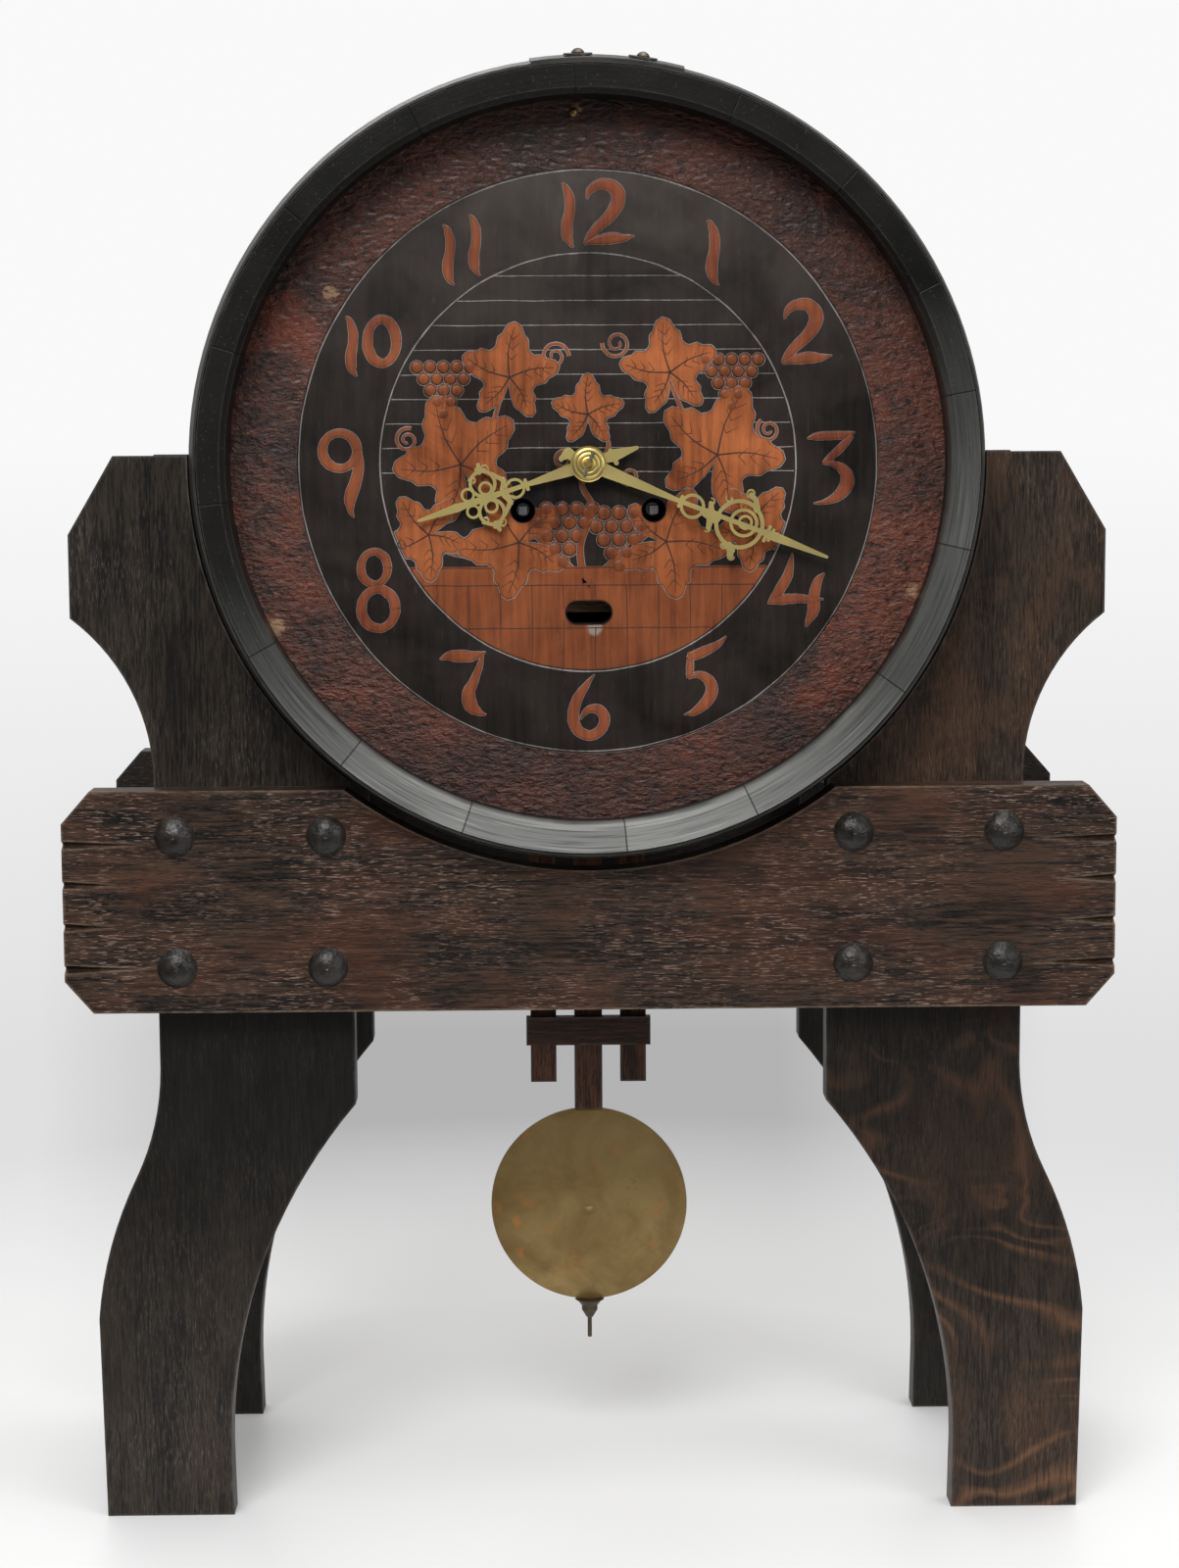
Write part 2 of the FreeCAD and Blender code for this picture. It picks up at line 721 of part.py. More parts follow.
def toothed(teeth, module, centre, low_y, thick, tooth_at, bore=0):
    """A toothed disc with one tooth's middle in a given direction."""
    pitch_radius = module * teeth / 2
    tip = pitch_radius + TOOTH_ADDENDUM_SHARE * module
    root = pitch_radius - TOOTH_DEDENDUM_SHARE * module
    pitch = FULL_TURN / teeth
    slope = (TOOTH_PITCH_SHARE - TOOTH_TIP_SHARE) / TOOTH_ADDENDUM_SHARE
    root_share = TOOTH_PITCH_SHARE + slope * TOOTH_DEDENDUM_SHARE
    points = []
    for i in range(teeth):
        middle = tooth_at + pitch * i
        points.append(polar(root, middle - pitch * root_share / 2))
        points.append(polar(tip, middle - pitch * TOOTH_TIP_SHARE / 2))
        points.append(polar(tip, middle + pitch * TOOTH_TIP_SHARE / 2))
        points.append(polar(root, middle + pitch * root_share / 2))
    disc = slice_at(points, low_y, thick, centre[0], centre[1])
    if bore:
        disc = disc.cut(rod(centre[0], centre[1], low_y - thick, low_y + 2 * thick, bore))
    return disc


def space_toward(teeth, degrees):
    """Where a tooth stands when a space points in a given direction."""
    return degrees + FULL_TURN / teeth / 2


def barrel_radius(y):
    """Outside radius of the barrel at a distance along it."""
    return n.stave_bilge_radius - n.bow_radius + math.sqrt(n.bow_radius ** 2 - y ** 2)


def build_boards():
    left, right = -s.board_half_length, s.board_half_length
    top, low = s.board_top, s.board_low
    run, rise = s.chamfer_run, s.chamfer_rise
    corners = [(left + run, low), (right - run, low), (right, low + rise), (right, top - rise),
               (right - run, top), (s.saddle_reach, top, s.saddle_radius, 1),
               (-s.saddle_reach, top), (left + run, top), (left, top - rise), (left, low + rise)]
    fronts = {"front_board": (-s.stand_half, -1), "rear_board": (s.plank_outside, 1)}
    for name, (low_y, facing) in fronts.items():
        body = plank(name + "_blank", corners, low_y, s.board_thick)
        face = facing * n.stand_half
        spaces = [gouge(side, face, facing, share, n.gouge_long) for side in (-1, 1)
                  for share in LONG_GOUGE_SHARES]
        spaces += [gouge(side, face, facing, share, n.gouge_short) for side in (-1, 1)
                   for share in SHORT_GOUGE_SHARES]
        spaces += [nail_hole(x, z, facing) for x, z in nail_places()]
        node(name, cut(name, body, Part.makeCompound(spaces)))


def gouge(side, face, facing, share, length):
    """A groove that deepens from a point toward the end of a board."""
    z = n.board_low + n.board_high * share
    tip = Vector(side * (n.board_half_length - length), face, z)
    grow = (length + n.gouge_deep) / length
    end_x = side * (n.board_half_length + n.gouge_deep)
    spread = n.gouge_wide * grow / 2
    over = Vector(end_x, face + facing * n.gouge_deep, z)
    bottom = Vector(end_x, face - facing * n.gouge_deep * grow, z)
    upper = Vector(end_x, face, z + spread)
    lower = Vector(end_x, face, z - spread)
    sides = [(tip, upper, bottom), (tip, bottom, lower), (tip, over, upper), (tip, lower, over)]
    faces = [Part.Face(Part.makePolygon([a, b, c, a])) for a, b, c in sides]
    faces.append(Part.Face(Part.makePolygon([upper, over, lower, bottom, upper])))
    return Part.makeSolid(Part.makeShell(faces))


def nail_places():
    for x in (-n.nail_outer_reach, -n.nail_inner_reach, n.nail_inner_reach, n.nail_outer_reach):
        for z in (n.board_low + n.nail_inset, n.board_top - n.nail_inset):
            yield x, z


def nail_hole(x, z, facing):
    start = Vector(x, facing * (n.stand_half + n.bore_ease), z)
    return Part.makeCylinder(n.nail_shank_radius, n.nail_shank_long + n.bore_ease, start,
                             BACKWARD * -facing)


def build_nails():
    """Domed nails through both boards into the planks."""
    shank = n.nail_shank_radius - n.bore_ease
    profile = [(0, -n.nail_shank_long), (shank, -n.nail_shank_long), (shank, 0)]
    profile += dome(n.nail_head_radius, 0, n.nail_head_high)
    nails = [lathe(profile, Vector(x, facing * n.stand_half, z), BACKWARD * facing)
             for facing in (-1, 1) for x, z in nail_places()]
    node("board_nails", feature("board_nails", Part.makeCompound(nails)))


def build_legs():
    """Four planks, each a wing beside the barrel above and a curved leg below."""
    for depth, low_y in (("front", -s.plank_outside), ("rear", s.plank_inside)):
        for side_name, side in (("left", -1), ("right", 1)):
            name = "%s_%s_leg" % (depth, side_name)
            corners = leg_corners(side)
            body = plank(name + "_blank", corners, low_y, s.leg_thick)
            facing = -1 if depth == "front" else 1
            holes = [nail_hole(x, z, facing) for x, z in nail_places() if x * side > 0]
            node(name, cut(name, body, Part.makeCompound(holes)))


def leg_corners(side):
    across = [
        (s.cradle_top_reach, s.leg_top),
        (s.wing_top_reach, s.leg_top),
        (s.wing_reach, s.wing_shoulder),
        (s.wing_reach, s.wing_low, s.wing_sweep_radius, -1),
        (s.waist_reach, s.waist_high),
        (s.waist_reach, s.hip_high, s.hip_radius, -1),
        (s.knee_reach, s.knee_high, s.shin_radius, 1),
        (s.ankle_reach, s.ankle_high),
        (s.foot_outer, ZERO),
        (s.foot_inner, ZERO),
        (s.arch_inner, s.arch_low, s.arch_radius, -1),
        (s.leg_inner, s.arch_high),
        (s.leg_inner, s.cradle_low, s.cradle_radius, -1),
    ]
    if side > 0:
        return across
    return [(-corner[0], corner[1]) + tuple(corner[2:3]) + tuple(-bulge for bulge in corner[3:])
            for corner in across]


def build_staves():
    """Sixteen staves of uneven width, cut through below for the pendulum."""
    end, half = n.stave_end_radius, n.half_barrel
    lip, chamfer = n.chime_radius, n.chime_chamfer
    croze = lip + n.croze_deep
    front_croze = half - n.chime_deep + n.head_fit
    rear_croze = front_croze - n.head_thick - 2 * n.head_fit
    side = [(lip + chamfer, half), (lip, half - chamfer), (lip, front_croze), (croze, front_croze),
            (croze, rear_croze), (lip, rear_croze)]
    mirrored = [(x, -y) for x, y in reversed(side)]
    points = [(end, -half), (n.stave_bilge_radius, 0, "bend"), (end, half)] + side
    points += [(n.stave_inner_bilge, 0, "bend")] + mirrored
    profile = chain(points)
    profile.rotate(ORIGIN, RIGHT, -QUARTER_TURN)
    gap = math.degrees(n.stave_joint_gap / n.stave_bilge_radius)
    slot = bar((-n.slot_half_wide, n.slot_half_wide), (-n.slot_half_deep, n.slot_half_deep),
               (n.barrel_rise - n.stave_bilge_radius - n.croze_deep, n.barrel_rise - n.chime_radius))
    staves = []
    for i, share in enumerate(STAVE_JOINT_SHARES):
        following = STAVE_JOINT_SHARES[(i + 1) % len(STAVE_JOINT_SHARES)]
        turn = (following - share) % 1 * FULL_TURN - gap
        start = share * FULL_TURN + gap / 2
        stave = profile.copy()
        stave.rotate(ORIGIN, FORWARD, start)
        stave = stave.revolve(ORIGIN, FORWARD, turn)
        stave.translate(UP * n.barrel_rise)
        staves.append(stave.cut(slot).Solids[0])
    node("barrel_staves", feature("barrel_staves", Part.makeCompound(staves)))


def hoop_normal(y_a, y_b, degrees):
    """The outward direction and the middle of a hoop's outer face at one place round the barrel."""
    rise = barrel_radius(y_b) - barrel_radius(y_a)
    run = y_b - y_a
    length = math.hypot(rise, run)
    dx, dz = polar(run / length, degrees)
    middle = (barrel_radius(y_a) + barrel_radius(y_b)) / 2 + n.hoop_gap
    x, z = polar(middle, degrees)
    return Vector(x, (y_a + y_b) / 2, z + n.barrel_rise), Vector(dx, -rise / length, dz)


def hoop_rivet_places(y_a, y_b, lap):
    return [hoop_normal(y_a, y_b, lap + RIVET_BEFORE), hoop_normal(y_a, y_b, lap - RIVET_AFTER)]


def hoop_band(y_a, y_b, lift, start, turn):
    """A strip of the hoop, one thickness deep, following the staves."""
    a = barrel_radius(y_a) + n.hoop_gap + lift
    b = barrel_radius(y_b) + n.hoop_gap + lift
    points = [Vector(a, y_a, 0), Vector(b, y_b, 0), Vector(b + n.hoop_thick, y_b, 0),
              Vector(a + n.hoop_thick, y_a, 0)]
    face = Part.Face(Part.makePolygon(points + points[:1]))
    face.rotate(ORIGIN, FORWARD, start)
    band = face.revolve(ORIGIN, FORWARD, turn)
    band.translate(UP * n.barrel_rise)
    return band


def build_hoops():
    """Iron hoops whose riveted laps show as a second thickness."""
    outer = n.half_barrel - n.head_hoop_setback
    inner = outer - n.head_hoop_wide
    near, far = n.quarter_hoop_inset, n.quarter_hoop_inset + n.quarter_hoop_wide
    places = {
        "front_hoop": [(-outer, -inner, HEAD_LAP_DIRECTION)],
        "rear_hoop": [(inner, outer, HEAD_LAP_DIRECTION)],
        "quarter_hoops": [(-far, -near, QUARTER_LAP_DIRECTION), (near, far, QUARTER_LAP_DIRECTION)],
    }
    hardware = []
    for name, bands in places.items():
        hoops = []
        for y_a, y_b, lap in bands:
            ring = hoop_band(y_a, y_b, 0, 0, FULL_TURN)
            over = hoop_band(y_a, y_b, n.hoop_thick, lap - LAP_AFTER, LAP_BEFORE + LAP_AFTER)
            hoop = ring.fuse(over)
            for spot, outward in hoop_rivet_places(y_a, y_b, lap):
                bore = n.rivet_shank_radius + n.bore_ease
                hoop = hoop.cut(Part.makeCylinder(bore, 4 * n.hoop_thick, spot - outward * n.hoop_thick,
                                                  outward))
                hardware += rivet_and_washer(spot, outward)
            hoops.append(hoop)
        node(name, feature(name, Part.makeCompound(hoops)))
    node("hoop_rivets", feature("hoop_rivets", Part.makeCompound(hardware)))


def rivet_and_washer(spot, outward):
    """A round-headed rivet and the washer under its head."""
    seat = 2 * n.hoop_thick + n.washer_gap
    top = seat + n.washer_thick
    bore = n.rivet_shank_radius + n.bore_ease
    washer = [(bore, seat), (n.washer_radius, seat), (n.washer_radius, top), (bore, top)]
    head, high = n.rivet_head_radius, n.rivet_head_high
    rivet = [(0, 0), (n.rivet_shank_radius, 0), (n.rivet_shank_radius, top), (head, top)]
    rivet += dome(head, top + high / 4, high * 3 / 4)
    return [lathe(rivet, spot, outward), lathe(washer, spot, outward)]


def sight_hole(low_y, high_y):
    """An oblong hole below the hands."""
    radius = n.sight_hole_high / 2
    reach = n.sight_hole_wide / 2 - radius
    z = n.barrel_rise - n.sight_hole_drop
    ends = [rod(x, z, low_y, high_y, radius) for x in (-reach, reach)]
    return fused(ends + [bar((-reach, reach), (low_y, high_y), (z - radius, z + radius))])


def build_heads():
    """The front head carries the dial, the rear head the door opening."""
    rim, flat = s.head_radius, s.dial_radius
    sunk = s.head_front + s.band_deep
    front = turned("front_head_blank", "XY_Plane", [
        (ZERO, s.head_front), (flat, s.head_front), (flat + s.band_deep, sunk), (rim, sunk),
        (rim, s.head_back), (ZERO, s.head_back)])
    place(front, z=s.barrel_rise)
    low, high = n.head_front - n.head_thick, n.head_back + n.head_thick
    holes = [rod(0, n.barrel_rise, low, high, n.centre_hole_radius), sight_hole(low, high)]
    holes += [rod(x, n.arbor_level, low, high, n.key_hole_radius) for x in (-n.arbor_side, n.arbor_side)]
    holes += screw_spaces(head_screws())
    node("front_head", cut("front_head", front, Part.makeCompound(holes)))

    rear = turned("rear_head_blank", "XY_Plane", [
        (ZERO, -s.head_front), (rim, -s.head_front), (rim, -s.head_back), (ZERO, -s.head_back)])
    place(rear, z=s.barrel_rise)
    node("rear_head",
         cut("rear_head", rear, Part.makeCompound([door_opening()] + screw_spaces(hinge_screws(-1)))))


def door_opening():
    """A rebated opening, narrower toward the works."""
    face, back = -n.head_front, -n.head_back
    half, rise = n.door_wide / 2, n.door_high / 2
    z = n.barrel_rise
    wide = bar((-half - n.door_gap, half + n.door_gap), (back + n.door_ledge_thick, face + n.head_thick),
               (z - rise - n.door_gap, z + rise + n.door_gap))
    x, up = half - n.door_ledge, rise - n.door_ledge
    narrow = bar((-x, x), (back - n.head_thick, face), (z - up, z + up))
    return wide.fuse(narrow)


def build_door():
    """The rear door, its knob and a pair of butt hinges."""
    half, rise = s.door_wide * 0.5, s.door_high * 0.5
    face = -s.head_front
    ledge = -s.head_back + s.door_ledge_thick + s.door_gap
    door = block("door_panel", (-half, ledge, s.barrel_rise - rise), (half, face, s.barrel_rise + rise))
    knob_x, z = n.door_wide / 2 - n.knob_inset, n.barrel_rise
    neck = n.knob_neck_radius
    socket = rod(knob_x, z, n.half_barrel - n.chime_deep - n.head_thick / 2, n.half_barrel,
                 neck + n.bore_ease)
    node("back_door", cut("back_door", door, Part.makeCompound([socket] + screw_spaces(hinge_screws(1)))))
    top = n.knob_long
    belly = n.knob_radius
    profile = [(0, -n.head_thick / 2 + n.bore_ease), (neck, -n.head_thick / 2 + n.bore_ease),
               (neck, top / 3),
               (belly, top * 2 / 3, "bend"), (neck, top), (0, top)]
    node("door_knob",
         feature("door_knob", lathe(profile, Vector(knob_x, n.half_barrel - n.chime_deep, z), BACKWARD)))
    node("head_hinge_leaves", feature("head_hinge_leaves", Part.makeCompound(
        [hinge_leaf(level, -1) for level in hinge_levels()])))
    node("door_hinge_leaves", feature("door_hinge_leaves", Part.makeCompound(
        [hinge_leaf(level, 1) for level in hinge_levels()])))


def hinge_levels():
    return [n.barrel_rise - n.hinge_reach, n.barrel_rise + n.hinge_reach]


def hinge_axis():
    return -n.door_wide / 2 - n.door_gap / 2, -n.head_front + n.knuckle_radius + n.knuckle_ease


def hinge_leaf(level, side):
    """One leaf: two outer knuckles and the pin on the head, the middle knuckle on the door."""
    x, y = hinge_axis()
    face = -n.head_front
    third, low = n.hinge_high / 3, level - n.hinge_high / 2
    outer = [(low, low + third), (low + 2 * third, low + 3 * third)]
    spans = outer if side < 0 else [(low + third, low + 2 * third)]
    bore = n.hinge_pin_radius + n.bore_ease
    inner = x + side * (n.knuckle_radius + n.knuckle_ease)
    outer = x + side * n.leaf_wide
    plate = bar(sorted((inner, outer)), (face, face + n.leaf_thick), (low, low + 3 * third))
    plate = plate.cut(Part.makeCompound(screw_spaces(hinge_screws(side))))
    pieces = [plate]
    for start, stop in spans:
        start += n.knuckle_ease
        stop -= n.knuckle_ease
        knuckle = Part.makeCylinder(n.knuckle_radius, stop - start, Vector(x, y, start), UP)
        web = bar(sorted((x, inner)), (face + n.knuckle_ease, face + n.leaf_thick), (start, stop))
        eye = Part.makeCylinder(bore, stop - start, Vector(x, y, start), UP)
        pieces.append(knuckle.fuse(web).cut(eye) if side > 0 else knuckle.fuse(web))
    if side < 0:
        pieces.append(Part.makeCylinder(n.hinge_pin_radius, 3 * third - 2 * n.knuckle_ease,
                                        Vector(x, y, low + n.knuckle_ease), UP))
    return fused(pieces)


def screw(x, z, face, facing, head, shank, long):
    """A slotted countersunk screw whose head lies in a face that looks along facing."""
    thick = n.screw_head_thick * head / n.screw_head_radius
    profile = [(0, -long), (shank / 2, -long), (shank, thick - long), (shank, -thick), (head, 0), (0, 0)]
    body = lathe(profile, Vector(x, face, z), BACKWARD * facing)
    deep = thick * n.screw_slot_deep / n.screw_head_thick
    slot_y = sorted((face - facing * deep, face + facing * thick))
    return body.cut(bar((x - n.screw_slot_wide / 2, x + n.screw_slot_wide / 2), slot_y,
                        (z - head, z + head)))


def screw_space(x, z, face, facing, head, shank, long):
    """The countersunk hole of such a screw."""
    thick = n.screw_head_thick * head / n.screw_head_radius
    ease = n.bore_ease
    profile = [(0, -long - ease), (shank + ease, -long - ease), (shank + ease, -thick),
               (head + ease, 0), (head + ease, thick), (0, thick)]
    return lathe(profile, Vector(x, face, z), BACKWARD * facing)


def head_screws():
    """Place and build of the two screws in the dial."""
    z = n.barrel_rise - n.head_screw_drop
    long = n.head_thick + n.head_block_deep / 2
    return [(x, z, n.head_front + n.band_deep, -1, n.screw_head_radius, n.screw_shank_radius, long)
            for x in (-n.head_screw_reach, n.head_screw_reach)]


def movement_screws():
    """Place and build of the four screws that hold the front plate to its cleats."""
    long = n.front_plate_thick + n.cleat_deep / 2
    rise = n.plate_half_high + n.plate_ear_high / 2
    return [(x, z, n.plate_inside, 1, n.screw_head_radius, n.screw_shank_radius, long)
            for x in (-n.movement_screw_side, n.movement_screw_side)
            for z in (n.barrel_rise - rise, n.barrel_rise + rise)]


def hinge_screws(side):
    """Place and build of the small screws of one hinge side's leaves."""
    x, y = hinge_axis()
    head, shank = n.screw_head_radius / 2, n.screw_shank_radius / 2
    across = (n.knuckle_radius + n.leaf_wide) / 2
    face = n.leaf_thick - n.head_front
    return [(x + side * across, level + end * n.hinge_high / 3, face, 1, head, shank, n.head_thick / 2)
            for level in hinge_levels() for end in (-1, 1)]


def screw_spaces(rows):
    return [screw_space(*row) for row in rows]


def build_cleats():
    """Wooden blocks behind the dial: two cleats for the works and two small blocks under the screws."""
    far = n.plate_half_high + n.plate_ear_high
    half, middle = n.cleat_half_wide, far - n.cleat_high / 2
    wood = [bar((-half, half), (n.head_back, n.plate_front),
                (n.barrel_rise + side * middle - n.cleat_high / 2,
                 n.barrel_rise + side * middle + n.cleat_high / 2))
            for side in (-1, 1)]
    lean = math.degrees(math.atan2(n.head_screw_drop, n.head_screw_reach))
    for degrees in (-lean, FULL_TURN / 2 + lean):
        block_solid = bar((n.head_block_radius - n.head_block_wide / 2,
                           n.head_block_radius + n.head_block_wide / 2),
                          (n.head_back, n.head_back + n.head_block_deep),
                          (-n.head_block_long / 2, n.head_block_long / 2))
        block_solid.rotate(ORIGIN, FORWARD, degrees)
        wood.append(block_solid.translated(UP * n.barrel_rise))
    spaces = Part.makeCompound(screw_spaces(head_screws() + movement_screws()))
    node("head_cleats", feature("head_cleats", Part.makeCompound([piece.cut(spaces) for piece in wood])))


def pillar_nut(x, z):
    """A hexagonal nut behind the back plate."""
    corners = [polar(n.nut_radius, FULL_TURN / 6 * i) for i in range(6)]
    nut = slice_at(corners, n.back_outside, n.nut_thick, x, z)
    return nut.cut(rod(x, z, n.back_outside, n.back_outside + n.nut_thick, n.pillar_end_radius))


def build_fasteners():
    fixed = [screw(*row) for row in head_screws() + movement_screws() + hinge_screws(-1)]
    fixed += [pillar_nut(x, z) for x, z in pillar_places()]
    node("screws_and_nuts", feature("screws_and_nuts", Part.makeCompound(fixed)))
    node("door_screws", feature("door_screws", Part.makeCompound([screw(*row) for row in hinge_screws(1)])))


def great_place(side):
    return side * n.arbor_side, n.arbor_level


def places():
    """Where the arbors stand between the plates."""
    return {
        "centre": (0, n.barrel_rise),
        "third": (n.third_x, n.third_z),
        "escape": (0, n.escape_z),
        "anchor": (0, n.anchor_z),
        "pin": (n.pin_wheel_x, n.pin_wheel_z),
        "warning": (n.warning_x, n.warning_z),
        "fly": (n.fly_x, n.fly_z),
        "hammer": (n.hammer_x, n.pin_wheel_z),
    }


def facing(a, b):
    """The direction from one centre to another."""
    return math.degrees(math.atan2(b[1] - a[1], b[0] - a[0]))


def pillar_places():
    return [(x, z) for x in (-n.pillar_side, n.pillar_side)
            for z in (n.barrel_rise - n.pillar_rise, n.barrel_rise + n.pillar_rise)]


def build_plates():
    """Brass plates and the pillars between them."""
    wide, low, high = s.plate_half_wide, s.plate_low, s.plate_high
    corner, ear, inner = s.plate_corner, s.plate_ear_high, s.cleat_half_wide
    front_corners = [(-wide, low), (-inner, low), (-inner, low - ear), (inner, low - ear), (inner, low),
                     (wide, low),
                     (wide, high), (inner, high), (inner, high + ear), (-inner, high + ear),
                     (-inner, high), (-wide, high)]
    back_corners = [(corner - wide, low), (wide - corner, low), (wide, low + corner), (wide, high - corner),
                    (wide - corner, high), (corner - wide, high), (-wide, high - corner),
                    (-wide, low + corner)]
    front = plank("front_plate_blank", front_corners, s.plate_front, s.front_plate_thick)
    back = plank("back_plate_blank", back_corners, s.back_inside, s.back_plate_thick)

    where = places()
    thick = n.front_plate_thick
    y = (n.plate_front - thick, n.plate_inside + thick)
    bores = {name: n.pivot_hole for name in where}
    bores["centre"] = n.centre_front_radius + n.bore_ease
    spaces = [rod(x, z, y[0], y[1], bores[name]) for name, (x, z) in where.items()]
    spaces += [rod(x, z, y[0], y[1], n.pillar_end_radius) for x, z in pillar_places()]
    spaces += [rod(*great_place(side), y[0], y[1], n.winding_radius + n.bore_ease) for side in (-1, 1)]
    spaces += screw_spaces(movement_screws())
    stud = rod(n.minute_post_x, n.minute_post_z, n.plate_front - n.minute_stud_long, n.plate_inside,
               n.centre_front_radius)
    plate = cut("front_plate_bare", front, Part.makeCompound(spaces))
    node("front_plate", join("front_plate", plate, stud))

    y = (n.back_inside - thick, n.back_outside + thick)
    bores["centre"] = n.pivot_hole
    bores["pin"] = n.arbor_radius + n.bore_ease
    bores["hammer"] = n.arbor_radius + n.bore_ease
    bores["anchor"] = n.anchor_hole_radius
    spaces = [rod(x, z, y[0], y[1], bores[name]) for name, (x, z) in where.items()]
    spaces += [rod(x, z, y[0], y[1], n.pillar_end_radius) for x, z in pillar_places()]
    spaces += [rod(*great_place(side), y[0], y[1], n.winding_rear_radius + n.bore_ease) for side in (-1, 1)]
    studs = [rod(n.count_x, n.count_z, n.back_inside, n.back_outside + n.stud_long, n.count_stud_radius),
             rod(*lever_place(), n.back_inside, n.back_outside + n.stud_long, n.click_stud_radius)]
    plate = cut("back_plate_bare", back, Part.makeCompound(spaces))
    node("back_plate", join("back_plate", plate, Part.makeCompound(studs)))

    pillars = []
    for x, z in pillar_places():
        ends = rod(x, z, n.plate_front, n.back_outside + n.nut_thick, n.pillar_end_radius)
        pillars.append(rod(x, z, n.plate_inside, n.back_inside,
                           n.pillar_radius).fuse(ends).removeSplitter())
    node("plate_pillars", feature("plate_pillars", Part.makeCompound(pillars)))


def join(name, base, shape):
    """A piece with a shape riveted into it."""
    tool = feature(name + "_rivets", shape)
    result = doc.addObject("Part::MultiFuse", name + "_join")
    result.Shapes = [base, tool]
    doc.recompute()
    return result


def lever_place():
    return step((n.count_x, n.count_z), n.count_lever_reach, LEVER_DIRECTION)


def depth(share_name):
    return n.plate_inside + getattr(n, share_name)


def wheel(teeth, module, centre, low_y, thick, tooth_at, rim=None):
    """A wheel with its teeth, four arms and a hub."""
    disc = toothed(teeth, module, centre, low_y, thick, tooth_at)
    rim = rim or module * (teeth / 2 - TOOTH_DEDENDUM_SHARE) - thick
    x, z = centre
    low, high = low_y - thick, low_y + 2 * thick
    windows = tube(x, z, low, high, rim, n.hub_radius)
    arms = [bar((-rim, rim), (low, high), (-thick / 2, thick / 2)),
            bar((-thick / 2, thick / 2), (low, high), (-rim, rim))]
    arms = [arm.translated(Vector(x, 0, z)) for arm in arms]
    return disc.cut(windows.cut(arms))


def pinion(teeth, module, centre, wheel_y, thick, space_at):
    """Leaves long enough to overlap a wheel's rim on both sides."""
    low_y = wheel_y + thick / 2 - n.pinion_long / 2
    return toothed(teeth, module, centre, low_y, n.pinion_long, space_toward(teeth, space_at))


def arbor(centre, pieces, high_y=None):
    """Whatever sits on an arbor, with the arbor and its pivots in the plates."""
    x, z = centre
    low_y = n.plate_inside + n.arbor_shake
    rear = n.back_outside if high_y is None else high_y
    top = n.back_inside - n.arbor_shake if high_y is None else high_y
    shaft = rod(x, z, low_y, top, n.arbor_radius)
    pivots = rod(x, z, n.plate_front, rear, n.pivot_radius)
    return fused([shaft, pivots] + pieces)


def build_going_train():
    where = places()
    fine, thick = n.fine_module, n.wheel_thick
    great_y, third_y = depth("time_great_depth"), depth("third_wheel_depth")
    centre_y, escape_y = depth("centre_wheel_depth"), depth("escape_wheel_depth")
    centre, third, escape = where["centre"], where["third"], where["escape"]

    back = facing(centre, great_place(1))
    turning = [pinion(CENTRE_PINION, n.great_module, centre, great_y, n.great_wheel_thick, back),
               wheel(CENTRE_TEETH, fine, centre, centre_y, thick, THIRD_DIRECTION),
               rod(*centre, collet_front() - n.taper_pin_radius * 4, n.plate_inside + thick,
                   n.centre_front_radius)]
    arbor_solid = arbor(centre, turning)
    crossing = Part.makeCylinder(n.taper_pin_radius + n.bore_ease, n.taper_pin_long,
                                 taper_pin_base(), taper_pin_way())
    node("centre_wheel", feature("centre_wheel", arbor_solid.cut(crossing)))

    onward = facing(third, escape)
    node("third_wheel", feature("third_wheel", arbor(third, [
        pinion(THIRD_PINION, fine, third, centre_y, thick, facing(third, centre)),
        wheel(THIRD_TEETH, fine, third, third_y, thick, onward)])))

    root = n.escape_radius - n.escape_tooth
    pitch = FULL_TURN / ESCAPE_TEETH
    points = []
    for i in range(ESCAPE_TEETH):
        middle = pitch * (i + ESCAPE_PHASE_SHARE) + PALLET_DIRECTION
        points += [polar(root, middle - pitch / 4),
                   polar(n.escape_radius, middle - pitch * ESCAPE_TIP_SHARE / 2),
                   polar(n.escape_radius, middle + pitch * ESCAPE_TIP_SHARE / 2),
                   polar(root, middle + pitch / 4)]
    star = slice_at(points, escape_y, n.motion_wheel_thick, *escape)
    node("escape_wheel", feature("escape_wheel", arbor(escape, [
        pinion(ESCAPE_PINION, fine, escape, third_y, thick, facing(escape, third)), star])))


def ratchet(centre, low_y):
    """Saw teeth, steep on one side."""
    pitch = FULL_TURN / RATCHET_TEETH
    points = []
    for i in range(RATCHET_TEETH):
        points.append(polar(n.ratchet_radius, pitch * i))
        points.append(polar(n.ratchet_radius - n.ratchet_tooth, pitch * (i + RATCHET_STEEP_SHARE)))
    return slice_at(points, low_y, n.click_thick, *centre)


def great_wheel(name, side, low_y, tooth_at, click_y, click_at):
    centre = great_place(side)
    disc = toothed(GREAT_TEETH, n.great_module, centre, low_y, n.great_wheel_thick, tooth_at,
                   n.winding_radius + n.bore_ease)
    stud_low = min(low_y, click_y - n.arbor_shake)
    stud_high = max(low_y + n.great_wheel_thick, click_y + n.click_thick + n.arbor_shake)
    stud = rod(*step(centre, n.click_reach, click_at), stud_low, stud_high, n.click_stud_radius)
    node(name, feature(name, disc.fuse(stud).removeSplitter()))


